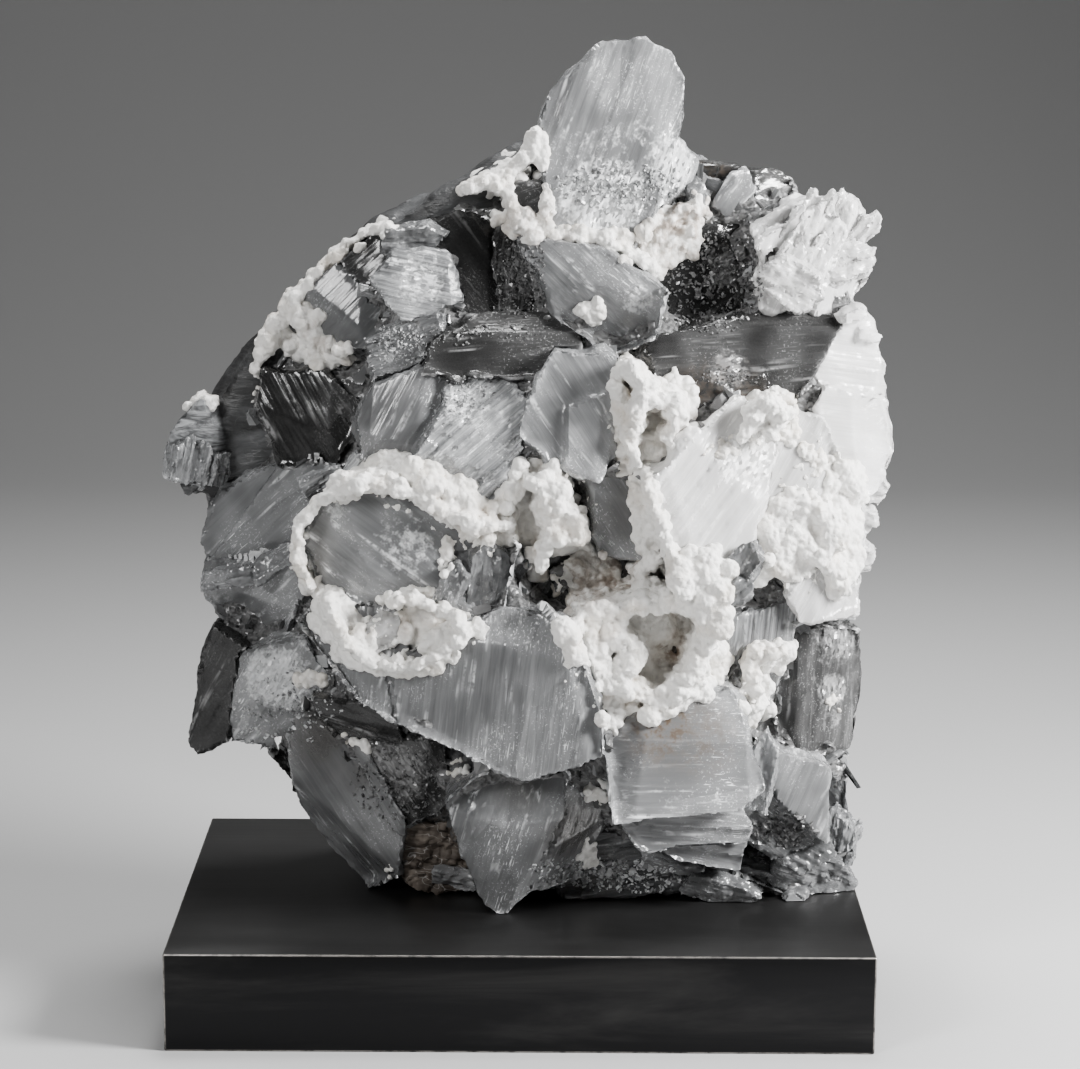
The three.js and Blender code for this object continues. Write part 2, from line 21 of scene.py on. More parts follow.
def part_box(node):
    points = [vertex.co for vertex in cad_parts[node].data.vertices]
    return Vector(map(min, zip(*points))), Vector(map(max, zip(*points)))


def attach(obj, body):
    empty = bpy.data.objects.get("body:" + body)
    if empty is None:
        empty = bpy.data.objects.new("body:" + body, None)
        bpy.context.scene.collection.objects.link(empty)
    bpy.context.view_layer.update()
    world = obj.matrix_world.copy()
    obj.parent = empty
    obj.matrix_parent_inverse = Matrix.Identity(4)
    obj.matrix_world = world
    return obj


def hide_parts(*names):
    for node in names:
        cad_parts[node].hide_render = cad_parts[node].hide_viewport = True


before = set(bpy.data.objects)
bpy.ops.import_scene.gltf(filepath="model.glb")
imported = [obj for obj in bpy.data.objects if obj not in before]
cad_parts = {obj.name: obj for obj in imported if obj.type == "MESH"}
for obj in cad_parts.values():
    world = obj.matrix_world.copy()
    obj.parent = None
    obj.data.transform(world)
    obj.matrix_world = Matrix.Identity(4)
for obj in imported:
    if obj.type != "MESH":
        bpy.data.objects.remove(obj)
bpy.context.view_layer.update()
MM = 0.001
PLINTH_TOP = 51.4
BODY = "root"
UNTURNED = Matrix.Identity(3)
FACE_SLOPE = 0.82  # The cosine of how far a crystal's main face may turn away before it is a side.
LAYERS_APART = (37.0, 11.0, 23.0)
SMALL_SIZE, SMALL_HEIGHT = 0.45, 0.7  # A small crystal's relief against a large one's.
SMALL_VOXEL = 0.9
CRUST_SEED, SHARD_SEED, DRUSE_SEED = 11, 31, 71

Colour = tuple[float, float, float, float]
Shape = tuple[np.ndarray, np.ndarray]

log = logging.getLogger("cluster")


class Pattern(Enum):
    """The kinds of relief that a surface can be given."""

    STEPS = "CELL_NOISE"
    SWELLS = "ORIGINAL_PERLIN"
    KNOBS = "VORONOI_F1"


class Where(Enum):
    """The parts of a crystal that a layer of relief lies on."""

    ALL = "all"
    FACES = "faces"
    SIDES = "sides"


class Stain(Enum):
    """What a patch on a crystal or a crust stands for: frosting, a brown stain or smoky colour in places, and
    painted light or shade in others.
    """

    FROST_AND_SHEEN = "frost"
    BROWN_STAIN_AND_SHADE = "earth"
    SMOKE = "smoke"


@dataclass(frozen=True)
class Patch:
    """A soft-edged area of a surface with a look of its own.

    Attributes:
        kind: What the patch is made of; some patches are painted light or shade instead.
        middle: Its middle.
        reach: How far it goes from its middle.
        amount: How strong it is there, up to 1.
    """

    kind: Stain
    middle: tuple[float, float, float]
    reach: float
    amount: float = 1.0


@dataclass(frozen=True)
class Relief:
    """One layer of raised and sunk detail.

    Attributes:
        pattern: The shape of the detail.
        size: Its extent along the grain, across it, and into the piece.
        height: The difference between its highest and lowest places.
        where: The part of the crystal that it lies on.
    """

    pattern: Pattern
    size: tuple[float, float, float]
    height: float
    where: Where = Where.ALL


def swells(along: float, across: float, deep: float, height: float, where: Where = Where.ALL) -> Relief:
    """Gives a layer of soft swells."""
    return Relief(Pattern.SWELLS, (along, across, deep), height, where)


def steps(along: float, across: float, deep: float, height: float, where: Where = Where.ALL) -> Relief:
    """Gives a layer of flat steps."""
    return Relief(Pattern.STEPS, (along, across, deep), height, where)


def knobs(along: float, across: float, deep: float, height: float) -> Relief:
    """Gives a layer of knobs, or of pits where its height is below 0."""
    return Relief(Pattern.KNOBS, (along, across, deep), height)


@dataclass(frozen=True)
class Cut:
    """A fold or a step across a crystal's main face, beyond which the face lies deeper.

    Attributes:
        start: The X and Z at which its line starts.
        end: The X and Z at which its line ends. The deeper side is on the right of the way there.
        slope: How much deeper the face gets per millimetre away from the line.
        drop: How much deeper it gets at the line itself.
    """

    start: tuple[float, float]
    end: tuple[float, float]
    slope: float
    drop: float = 0.0


@dataclass(frozen=True)
class Face:
    """A crystal's main face, with the way in which its striae run.

    Attributes:
        turn: The rotation whose columns run along the grain, across it, and out of the face.
        height: How far the face is from the origin along its own normal.
        thinnest: The thinnest that folds and steps may leave a crystal.
    """

    turn: Matrix
    height: float
    thinnest: float = 5.0

    @classmethod
    def of(cls, piece: bpy.types.Object, angle: float) -> "Face":
        """Finds the largest face of a plain crystal that looks to the front.

        Args:
            piece: The crystal, before it has any relief.
            angle: The angle of its striae from +X towards +Z.

        Returns:
            The face.
        """
        areas: dict[tuple[float, ...], float] = {}
        for face in piece.data.polygons:
            if face.normal.y < -0.35:
                key = tuple(round(value, 1) for value in face.normal)
                areas[key] = areas.get(key, 0.0) + face.area
        best = max(areas, key=areas.get)
        fitting = [face for face in piece.data.polygons
                   if tuple(round(value, 1) for value in face.normal) == best]
        largest = max(fitting, key=lambda face: face.area)
        out = largest.normal.normalized()
        return cls(turn_on_face(out, angle), out.dot(largest.center) / MM)

    def make(self, piece: bpy.types.Object, cuts: tuple[Cut, ...]) -> None:
        """Sinks a piece's surface below the face's folds and steps, by no more than its thickness allows.

        Args:
            piece: The crystal, with an even mesh.
            cuts: The folds and steps.
        """
        depsgraph = bpy.context.evaluated_depsgraph_get()
        tree = BVHTree.FromObject(piece, depsgraph)
        places = corner_places(piece)
        out = np.array(self.turn.col[2])
        depth = self.height - places @ out
        wanted = np.zeros(len(places))
        for cut in cuts:
            way = np.array(cut.end) - np.array(cut.start)
            side = np.array((way[1], -way[0])) / np.linalg.norm(way)
            beyond = (places[:, (0, 2)] - np.array(cut.start)) @ side
            wanted = np.maximum(wanted, np.where(beyond > 0.0, cut.drop + cut.slope * beyond, 0.0))
        sunk = np.maximum(wanted - depth, 0.0)
        inward = -self.turn.col[2]
        for number in np.flatnonzero(sunk):
            hit = tree.ray_cast(Vector(places[number]) * MM + inward * 0.2 * MM, inward)
            thickness = hit[3] / MM if hit[0] is not None else 0.0
            sunk[number] = min(sunk[number], max(0.0, thickness - self.thinnest))
        sunk = np.minimum(sunk, evened(piece, sunk[:, None], 4)[:, 0])
        places -= sunk[:, None] * out
        move_corners(piece, places * MM)


def select_only(piece: bpy.types.Object) -> None:
    """Makes a piece the only selected object, and the active one."""
    bpy.ops.object.select_all(action="DESELECT")
    piece.select_set(True)
    bpy.context.view_layer.objects.active = piece


def modify(piece: bpy.types.Object, kind: str, **settings: object) -> None:
    """Changes a piece's mesh by one modifier with these settings."""
    modifier = piece.modifiers.new(kind.lower(), kind)
    for key, value in settings.items():
        setattr(modifier, key, value)
    select_only(piece)
    bpy.ops.object.modifier_apply(modifier=modifier.name)


def join_to(piece: bpy.types.Object, *others: bpy.types.Object) -> None:
    """Joins other pieces to a piece."""
    select_only(piece)
    for other in others:
        other.select_set(True)
    bpy.ops.object.join()


def linked(thing: bpy.types.Object) -> bpy.types.Object:
    """Puts a new thing into the scene."""
    bpy.context.scene.collection.objects.link(thing)
    return thing


def copy_of_node(node: str, name: str) -> bpy.types.Object:
    """Copies a node of the frame as a closed mesh of its own.

    Args:
        node: The node's name.
        name: The new piece's name.

    Returns:
        The copy, with its doubles merged and its normals pointing out.
    """
    piece = linked(bpy.data.objects.new(name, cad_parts[node].data.copy()))
    piece.data.materials.clear()
    select_only(piece)
    bpy.ops.object.mode_set(mode="EDIT")
    bpy.ops.mesh.select_all(action="SELECT")
    bpy.ops.mesh.remove_doubles(threshold=0.02 * MM)
    bpy.ops.mesh.normals_make_consistent(inside=False)
    bpy.ops.object.mode_set(mode="OBJECT")
    return piece


def remesh(piece: bpy.types.Object, voxel: float) -> None:
    """Gives a piece an even mesh, with faces of about the voxel's size."""
    modify(piece, "REMESH", mode="VOXEL", voxel_size=voxel * MM)


def raise_relief(piece: bpy.types.Object, relief: Relief, turn: Matrix, phase: Vector) -> None:
    """Raises and sinks a piece's surface by one layer of relief.

    Args:
        piece: The piece, with an even mesh.
        relief: The layer.
        turn: The rotation of the layer's own axes.
        phase: Where the layer starts, which sets two like layers apart.
    """
    texture = bpy.data.textures.new("relief", "CLOUDS")
    texture.noise_basis = relief.pattern.value
    texture.noise_scale = 1.0
    texture.noise_depth = 0 if relief.pattern is Pattern.STEPS else 2
    guide = linked(bpy.data.objects.new("guide", None))
    size = Matrix.Diagonal(Vector(relief.size) * MM).to_4x4()
    guide.matrix_world = Matrix.Translation(phase * MM) @ turn.to_4x4() @ size
    bpy.context.view_layer.update()
    group = "" if relief.where is Where.ALL else relief.where.value
    modify(piece, "DISPLACE", texture=texture, texture_coords="OBJECT", texture_coords_object=guide,
           mid_level=0.5, strength=relief.height * MM, vertex_group=group)
    bpy.data.objects.remove(guide)
    bpy.data.textures.remove(texture)


def raise_reliefs(piece: bpy.types.Object, reliefs: Iterable[Relief], turn: Matrix, phase: tuple[float, ...],
                  apart: tuple[float, ...] = (0.0, 0.0, 0.0)) -> None:
    """Raises and sinks a piece's surface by layers of relief.

    Args:
        piece: The piece, with an even mesh.
        reliefs: The layers, first to last.
        turn: The rotation of their axes.
        phase: Where the first layer starts.
        apart: How far each layer starts from the one before it.
    """
    for number, relief in enumerate(reliefs):
        raise_relief(piece, relief, turn, Vector(phase) + Vector(apart) * number)


def part_faces_from_sides(piece: bpy.types.Object, turn: Matrix) -> None:
    """Groups a crystal's corners into those of its main faces and those of its broken sides.

    Args:
        piece: The crystal.
        turn: The rotation of its grain, whose last column points out of the main face.
    """
    normals = np.empty(len(piece.data.vertices) * 3, np.float32)
    piece.data.vertex_normals.foreach_get("vector", normals)
    facing = np.abs(normals.reshape(-1, 3) @ np.array(turn.col[2]))
    for where, chosen in ((Where.FACES, facing >= FACE_SLOPE), (Where.SIDES, facing < FACE_SLOPE)):
        group = piece.vertex_groups.new(name=where.value)
        group.add(np.flatnonzero(chosen).tolist(), 1.0, "REPLACE")


class Neighbours:
    """The plain shapes of all the pieces, used to let each crystal grow until it meets the others.

    Attributes:
        widest: The widest gap that a crystal closes.
        bite: How far a crystal grows into its neighbour.
    """

    widest = 7.0
    bite = 1.0

    def __init__(self) -> None:
        """Reads the shapes of the frame's nodes."""
        corners, faces = [], []
        self.owners: list[str] = []
        for name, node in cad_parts.items():
            if name == "display_plinth":
                continue
            first = len(corners)
            corners += [vertex.co for vertex in node.data.vertices]
            faces += [[first + number for number in face.vertices] for face in node.data.polygons]
            self.owners += [name] * len(node.data.polygons)
        self.tree = BVHTree.FromPolygons(corners, faces)

    def close_gaps(self, piece: bpy.types.Object, node: str) -> None:
        """Grows a crystal's sides out to the pieces beside it.

        Args:
            piece: The crystal, with an even mesh and its corners grouped.
            node: The frame's node that it stands for.
        """
        group = piece.vertex_groups[Where.SIDES.value].index
        ways = evened(piece, np.array([vertex.normal for vertex in piece.data.vertices]), 14)
        ways /= np.linalg.norm(ways, axis=1, keepdims=True)
        growth = np.zeros((len(ways), 1))
        for vertex in piece.data.vertices:
            if any(member.group == group for member in vertex.groups):
                way = Vector(ways[vertex.index])
                place, _, number, distance = self.tree.ray_cast(vertex.co + way * 0.1 * MM, way)
                if place is not None and distance < self.widest * MM and self.owners[number] != node:
                    growth[vertex.index] = distance + self.bite * MM
        move_corners(piece, corner_places(piece) * MM + ways * evened(piece, growth, 10))
        modify(piece, "SMOOTH", vertex_group=Where.SIDES.value, iterations=12)


def evened(piece: bpy.types.Object, values: np.ndarray, rounds: int) -> np.ndarray:
    """Evens out values over a piece's mesh.

    Args:
        piece: The piece.
        values: One row for each corner of its mesh.
        rounds: How many times each corner takes the mean of itself and its neighbours.

    Returns:
        The evened values.
    """
    ends = np.empty(len(piece.data.edges) * 2, np.int32)
    piece.data.edges.foreach_get("vertices", ends)
    starts, ends = np.concatenate([ends[0::2], ends[1::2]]), np.concatenate([ends[1::2], ends[0::2]])
    share = 1.0 / (1.0 + np.bincount(starts, minlength=len(values)))[:, None]
    for _ in range(rounds):
        sums = [np.bincount(starts, values[ends, column], len(values)) for column in range(values.shape[1])]
        values = (values + np.stack(sums, axis=1)) * share
    return values


def corner_places(piece: bpy.types.Object) -> np.ndarray:
    """Gives a piece's corners in millimetres, one row each."""
    places = np.empty(len(piece.data.vertices) * 3, np.float32)
    piece.data.vertices.foreach_get("co", places)
    return places.reshape(-1, 3) / MM


def move_corners(piece: bpy.types.Object, places: np.ndarray) -> None:
    """Moves a piece's corners to places in metres, one row each."""
    piece.data.vertices.foreach_set("co", places.astype(np.float32).ravel())
    piece.data.update()


def store(piece: bpy.types.Object, name: str, values: np.ndarray) -> None:
    """Stores a number or a vector on each of a piece's corners, for its material to read.

    Args:
        piece: The piece.
        name: The attribute's name.
        values: One number or three for each corner.
    """
    kind, key = ("FLOAT", "value") if values.ndim == 1 else ("FLOAT_VECTOR", "vector")
    attribute = piece.data.attributes.new(name, kind, "POINT")
    attribute.data.foreach_set(key, values.astype(np.float32).ravel())


def store_patches(piece: bpy.types.Object, patches: tuple[Patch, ...]) -> None:
    """Stores how much of each kind of patch lies on each of a piece's corners.

    Args:
        piece: The piece.
        patches: The patches on it.
    """
    places = corner_places(piece)
    for kind in Stain:
        amount = np.zeros(len(places), np.float32)
        for patch in patches:
            if patch.kind is kind:
                away = np.linalg.norm(places - np.array(patch.middle, np.float32), axis=1)
                soft = np.clip(1.0 - away / patch.reach, 0.0, 1.0)
                amount = np.maximum(amount, patch.amount * soft * (2.0 - soft))
        store(piece, kind.value, amount)


def store_crystal(piece: bpy.types.Object, grain: np.ndarray, tone: float | np.ndarray, pale_edge: float = 1.0,
                  patches: tuple[Patch, ...] = ()) -> None:
    """Stores all that a crystal's finish reads.

    Args:
        piece: The piece.
        grain: Its corners' places along the grain, across it and into the piece.
        tone: Its brightness, or that of each corner.
        pale_edge: How pale its edges are, up to 1: a painted highlight along them.
        patches: The patches on it.
    """
    store(piece, "grain", grain)
    store(piece, "tone", np.broadcast_to(tone, len(grain)))
    store(piece, "pale_edge", np.full(len(grain), pale_edge))
    store_patches(piece, patches)


def keep_above_plinth(piece: bpy.types.Object) -> None:
    """Flattens whatever of a piece would go below the plinth's top."""
    places = corner_places(piece)
    places[:, 2] = np.maximum(places[:, 2], PLINTH_TOP)
    move_corners(piece, places * MM)


def finish_piece(piece: bpy.types.Object, material: bpy.types.Material, slot: str, *nodes: str) -> None:
    """Dresses a piece and fastens it to the object.

    Args:
        piece: The piece.
        material: Its finish.
        slot: The record's material slot that the finish belongs to. It is not used.
        nodes: The frame's nodes that the piece stands for.
    """
    piece.data.materials.clear()
    piece.data.materials.append(material)
    select_only(piece)
    bpy.ops.object.shade_smooth_by_angle(angle=math.radians(32.0))
    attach(piece, BODY)
    if nodes:
        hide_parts(*nodes)
    log.info("%s: %d faces", piece.name, len(piece.data.polygons))


class Board:
    """Lays out the nodes of one material."""

    def __init__(self, name: str) -> None:
        """Starts an empty material with an output.

        Args:
            name: The material's name.
        """
        self.material = bpy.data.materials.new(name)
        self.material.use_nodes = True
        self.tree = self.material.node_tree
        self.tree.nodes.clear()
        self.output = self.tree.nodes.new("ShaderNodeOutputMaterial")

    def add(self, kind: str, inputs: dict | None = None, **settings: object) -> bpy.types.Node:
        """Adds a node.

        Args:
            kind: The node's type, without its common first word.
            inputs: What each named input holds or is linked to.
            settings: The node's own settings.

        Returns:
            The node.
        """
        node = self.tree.nodes.new("ShaderNode" + kind)
        for key, value in settings.items():
            setattr(node, key, value)
        for key, value in (inputs or {}).items():
            if isinstance(value, bpy.types.NodeSocket):
                self.tree.links.new(value, node.inputs[key])
            else:
                node.inputs[key].default_value = value
        return node

    def number(self, name: str) -> bpy.types.NodeSocket:
        """Reads a number that is stored on the piece's mesh."""
        return self.add("Attribute", attribute_name=name).outputs["Fac"]

    def object_place(self) -> bpy.types.NodeSocket:
        """Reads the surface's place in the object."""
        return self.add("TexCoord").outputs["Object"]

    def maths(self, operation: str, *values: object, clamp: bool = False) -> bpy.types.NodeSocket:
        """Works out one number from others."""
        node = self.add("Math", dict(enumerate(values)), operation=operation, use_clamp=clamp)
        return node.outputs[0]

    def times(self, *values: object) -> bpy.types.NodeSocket:
        """Multiplies two numbers."""
        return self.maths("MULTIPLY", *values)

    def plus(self, *values: object) -> bpy.types.NodeSocket:
        """Adds two numbers."""
        return self.maths("ADD", *values)

    def most(self, *values: object, clamp: bool = False) -> bpy.types.NodeSocket:
        """Takes the larger of two numbers."""
        return self.maths("MAXIMUM", *values, clamp=clamp)

    def vectors(self, operation: str, inputs: dict) -> bpy.types.NodeSocket:
        """Works out one vector from others."""
        return self.add("VectorMath", inputs, operation=operation).outputs[0]

    def cells(self, vector: bpy.types.NodeSocket, scale: float = 1.0) -> tuple[bpy.types.NodeSocket, ...]:
        """Adds a pattern of cells, and gives the way to each cell's middle and each cell's colour."""
        node = self.add("TexVoronoi", {"Vector": vector, "Scale": scale})
        return node.outputs["Distance"], node.outputs["Color"]

    def first_of(self, colour: bpy.types.NodeSocket) -> bpy.types.NodeSocket:
        """Takes the first channel of a colour."""
        return self.add("SeparateColor", {0: colour}).outputs[0]

    def scaled(self, vector: bpy.types.NodeSocket, scale: tuple[float, float, float]) -> bpy.types.NodeSocket:
        """Stretches a pattern's coordinates, each axis by its own amount."""
        return self.add("Mapping", {"Vector": vector, "Scale": scale}).outputs[0]

    def noise(self, vector: bpy.types.NodeSocket, scale: float, detail: float = 3.0,
              roughness: float = 0.55, distortion: float = 0.0) -> bpy.types.NodeSocket:
        """Adds a soft random pattern.

        Args:
            vector: Its coordinates.
            scale: How many waves it has in each unit of them.
            detail: How many finer layers it has.
            roughness: How strong the finer layers are.
            distortion: How much it is twisted.

        Returns:
            Its value.
        """
        node = self.add("TexNoise", {"Vector": vector, "Scale": scale, "Detail": detail,
                                     "Roughness": roughness, "Distortion": distortion})
        return node.outputs[0]

    def ramp(self, value: bpy.types.NodeSocket, low: float, high: float) -> bpy.types.NodeSocket:
        """Stretches a value so that low becomes 0 and high becomes 1, softly."""
        node = self.add("MapRange", {"Value": value, "From Min": low, "From Max": high},
                        interpolation_type="SMOOTHSTEP")
        return node.outputs[0]

    def mix(self, share: object, first: object, second: object, blend: str = "MIX") -> bpy.types.NodeSocket:
        """Mixes two colours."""
        node = self.add("Mix", {0: share, 6: first, 7: second}, data_type="RGBA", blend_type=blend)
        return node.outputs[2]

    def bump(self, height: bpy.types.NodeSocket, distance: float, strength: float = 1.0,
             normal: bpy.types.NodeSocket | None = None) -> bpy.types.NodeSocket:
        """Bends the surface's normal by a height pattern, whose full height is in millimetres."""
        inputs = {"Height": height, "Distance": distance * MM, "Strength": strength}
        if normal is not None:
            inputs["Normal"] = normal
        return self.add("Bump", inputs).outputs[0]

    def finish(self, inputs: dict) -> bpy.types.Material:
        """Ends the material with a surface shader.

        Args:
            inputs: What the shader's inputs hold or are linked to.

        Returns:
            The material.
        """
        shader = self.add("BsdfPrincipled", inputs)
        self.tree.links.new(shader.outputs[0], self.output.inputs[0])
        return self.material


def grey(value: float, warmth: float = 0.0) -> Colour:
    """Gives a grey that is warmed, or cooled where warmth is below 0."""
    return (value * (1.0 + warmth), value, value * (1.0 - warmth), 1.0)


@dataclass(frozen=True)
class Selenite:
    """A finish for crystals: striae along the grain, clear depths and frosted, sparkling breaks.

    Attributes:
        slot: The record's material slot.
        body: The colour of its clear parts.
        veil: The colour of its cloudy streaks.
        clearness: How much light goes through its clear parts.
        gloss: The roughness of its smooth parts.
        sparkle: How much of it is frosted by itself, up to 1.
        glow: How much light spreads under its surface.
        lines: How strong its fine striae are, up to 1.
        dashes: How strong its short bright marks are, up to 1: partly cloudy marks, partly painted glints.
        milk: How cloudy its body is, up to 1.
    """

    slot: str
    body: Colour
    veil: Colour
    clearness: float
    gloss: float
    sparkle: float
    glow: float
    lines: float
    dashes: float
    milk: float

    def build(self) -> bpy.types.Material:
        """Makes the material."""
        board = Board(self.slot)
        grain = board.add("Attribute", attribute_name="grain").outputs["Vector"]
        frost_and_sheen_patch = board.number(Stain.FROST_AND_SHEEN.value)
        brown_stain_and_shade_patch = board.number(Stain.BROWN_STAIN_AND_SHADE.value)
        smoke_and_shadow_patch = board.number(Stain.SMOKE.value)
        tone = board.number("tone")
        # Pale edges where the mesh is pointy, scaled per piece: a painted highlight along the crystals'
        # edges.
        edge = board.ramp(board.add("NewGeometry").outputs["Pointiness"], 0.53, 0.66)
        edge = board.times(edge, board.number("pale_edge"))

        hair = board.noise(board.scaled(grain, (0.014, 0.5, 0.45)), 1.0, 2.0, 0.6)
        wisp = board.noise(board.scaled(grain, (0.022, 0.14, 0.12)), 1.0, 2.0, 0.7)
        cloud = board.noise(grain, 0.028, 2.0, 0.6)
        break_up = board.noise(grain, 0.22, 2.0, 0.7)
        # Short bright dashes along the grain, painted white: partly cloudy marks in the crystal, partly
        # painted glints.
        dash = board.noise(board.scaled(grain, (0.13, 1.3, 1.0)), 1.0, 1.0, 0.5)
        dash = board.times(board.ramp(dash, 0.62, 0.74), board.ramp(cloud, 0.46, 0.66))

        # Frosted whitening from the crystal's own pattern and from its patches; on the crown the patches are
        # partly a painted highlight.
        own_frost = board.ramp(board.plus(cloud, board.times(break_up, 0.5)),
                               1.0 - 0.3 * self.sparkle, 1.12 - 0.3 * self.sparkle)
        patch_frost_and_sheen = board.ramp(board.plus(frost_and_sheen_patch, board.times(break_up, 0.9)), 0.75, 1.05)
        frost = board.most(own_frost, patch_frost_and_sheen, clamp=True)
        streak = board.ramp(wisp, 0.54, 0.74)
        streak = board.times(streak, board.ramp(hair, 0.35, 0.60))
        streak = board.times(streak, board.ramp(break_up, 0.3, 0.55))
        fine = board.times(board.ramp(hair, 0.4, 0.75), 0.14 * self.lines)
        veil = board.most(board.most(streak, fine), board.times(dash, self.dashes))

        depth = board.first_of(board.cells(board.scaled(grain, (0.010, 0.045, 0.03)))[1])
        milk = board.times(board.ramp(cloud, 0.3, 0.7), board.plus(0.4, depth))
        colour = board.mix(milk, self.body, board.mix(self.milk, self.body, self.veil))
        dust = board.ramp(board.noise(grain, 0.8, 2.0, 0.7), 0.56, 0.72)
        dust = board.times(dust, board.ramp(cloud, 0.42, 0.62))
        veil = board.most(veil, board.times(dust, 0.7))
        colour = board.mix(veil, colour, self.veil)
        colour = board.mix(board.times(frost, 0.6), colour, self.veil)
        # Whitens the pointy edges: painted highlight.
        colour = board.mix(board.times(edge, 0.45), colour, grey(0.9, 0.0))
        # Dark patches: smoky colour in places, and under the apron a painted shadow that it casts.
        smoke = board.times(smoke_and_shadow_patch, board.ramp(cloud, 0.2, 0.5))
        colour = board.mix(smoke, colour, grey(0.1, 0.06))
        # Brown patches: a real stain in places, painted shade near the cavities in others.
        earth = board.times(brown_stain_and_shade_patch, board.ramp(break_up, 0.35, 0.65))
        colour = board.mix(earth, colour, (0.1, 0.075, 0.055, 1.0))
        shade = board.add("CombineColor", {0: tone, 1: tone, 2: tone}).outputs[0]
        colour = board.mix(1.0, colour, shade, "MULTIPLY")

        solid = board.most(board.times(frost, 0.7), board.most(board.times(veil, 0.7), earth))
        solid = board.most(solid, edge)
        clear = board.times(board.maths("SUBTRACT", 1.0, solid, clamp=True), self.clearness)
        rough = board.plus(self.gloss, board.times(frost, 0.08))
        rough = board.plus(rough, board.times(hair, 0.14))

        height = board.times(hair, 0.5 * self.lines + 0.05)
        height = board.plus(height, board.times(wisp, 0.8))
        lines = board.bump(height, 1.0, 0.8)
        flakes = board.cells(board.scaled(grain, (0.4, 0.8, 0.6)))[1]
        tilt = board.vectors("SUBTRACT", {0: flakes, 1: (0.5, 0.5, 0.5)})
        tilt = board.vectors("SCALE", {0: tilt, "Scale": board.times(frost, 1.3)})
        normal = board.vectors("NORMALIZE", {0: board.vectors("ADD", {0: lines, 1: tilt})})

        return board.finish({
            "Base Color": colour, "Roughness": rough, "IOR": 1.52, "Normal": normal,
            "Transmission Weight": clear, "Subsurface Weight": self.glow,
            "Subsurface Radius": (1.0, 1.0, 1.0), "Subsurface Scale": 6.0 * MM,
        })


@dataclass(frozen=True)
class CrustFinish:
    """A finish for the white gypsum crusts, with brown in their hollows: partly real staining, partly painted
    shade.
    """

    slot: str = "gypsum_crust"
    white: Colour = (0.86, 0.85, 0.825, 1.0)
    cream: Colour = (0.74, 0.69, 0.62, 1.0)
    dirt_and_shade: Colour = (0.22, 0.15, 0.1, 1.0)

    def build(self) -> bpy.types.Material:
        """Makes the material."""
        board = Board(self.slot)
        place = board.object_place()
        # Darker towards the hollows, found by pointiness: partly real brown staining, partly painted shade in
        # the recesses.
        hollow = board.ramp(board.add("NewGeometry").outputs["Pointiness"], 0.49, 0.4)
        brown_stain_and_shade_patch = board.number(Stain.BROWN_STAIN_AND_SHADE.value)
        cloud = board.noise(place, 45.0, 4.0, 0.6)
        grit = board.noise(place, 700.0, 3.0, 0.6)
        colour = board.mix(board.ramp(cloud, 0.45, 0.8), self.white, self.cream)
        soil_and_shade = board.times(hollow, board.plus(0.25, board.ramp(cloud, 0.5, 0.7)))
        spread = board.times(brown_stain_and_shade_patch, board.ramp(board.noise(place, 160.0), 0.38, 0.62))
        soil_and_shade = board.most(board.times(soil_and_shade, 0.5), spread, clamp=True)
        colour = board.mix(soil_and_shade, colour, self.dirt_and_shade)
        normal = board.bump(board.cells(place, 330.0)[0], -1.1, 0.7)
        normal = board.bump(grit, 0.3, 0.6, normal)
        return board.finish({"Base Color": colour, "Roughness": 0.6, "IOR": 1.5, "Normal": normal})


@dataclass(frozen=True)
class RockFinish:
    """A finish for the dark foliated host rock, with a painted silvery sheen on its knob, and for the crumbly
    brown matrix.

    Attributes:
        slot: The record's material slot.
        dark: The colour of its dark leaves.
        pale: The colour of its pale leaves.
        silk: The roughness of its smooth parts.
        veins: How strong its pale veins are, up to 1.
    """

    slot: str
    dark: Colour
    pale: Colour
    silk: float
    veins: float = 0.0

    def build(self) -> bpy.types.Material:
        """Makes the material."""
        board = Board(self.slot)
        place = board.object_place()
        folds = board.noise(board.scaled(place, (16.0, 16.0, 70.0)), 1.0, 5.0, 0.6, 0.8)
        patches = board.noise(place, 22.0, 5.0, 0.6, 0.5)
        veins = board.noise(board.scaled(place, (26.0, 26.0, 60.0)), 1.0, 2.0, 0.5, 2.0)
        vein = board.maths("ABSOLUTE", board.maths("SUBTRACT", veins, 0.5))
        vein = board.ramp(vein, 0.012, 0.0)
        grit = board.noise(place, 1200.0, 3.0, 0.7)
        colour = board.mix(board.ramp(folds, 0.35, 0.7), self.dark, self.pale)
        colour = board.mix(board.ramp(patches, 0.35, 0.75), colour, self.dark)
        colour = board.mix(board.times(vein, self.veins), colour, grey(0.62, 0.02))
        # Where the knob's patches lie, a pale leafy colour paints its silvery lustre: a painted sheen.
        silver = board.number(Stain.FROST_AND_SHEEN.value)
        leaf = board.noise(board.scaled(place, (30.0, 30.0, 130.0)), 1.0, 4.0, 0.65, 1.6)
        shine = board.mix(board.ramp(leaf, 0.36, 0.64), grey(0.08, -0.03), grey(0.75, -0.02))
        colour = board.mix(silver, colour, shine)
        normal = board.bump(folds, 3.0, 0.7)
        normal = board.bump(leaf, 1.5, 0.7, normal)
        normal = board.bump(grit, 0.2, 0.6, normal)
        rough = board.plus(self.silk, board.times(grit, 0.25))
        return board.finish({"Base Color": colour, "Roughness": rough, "IOR": 1.55, "Normal": normal})


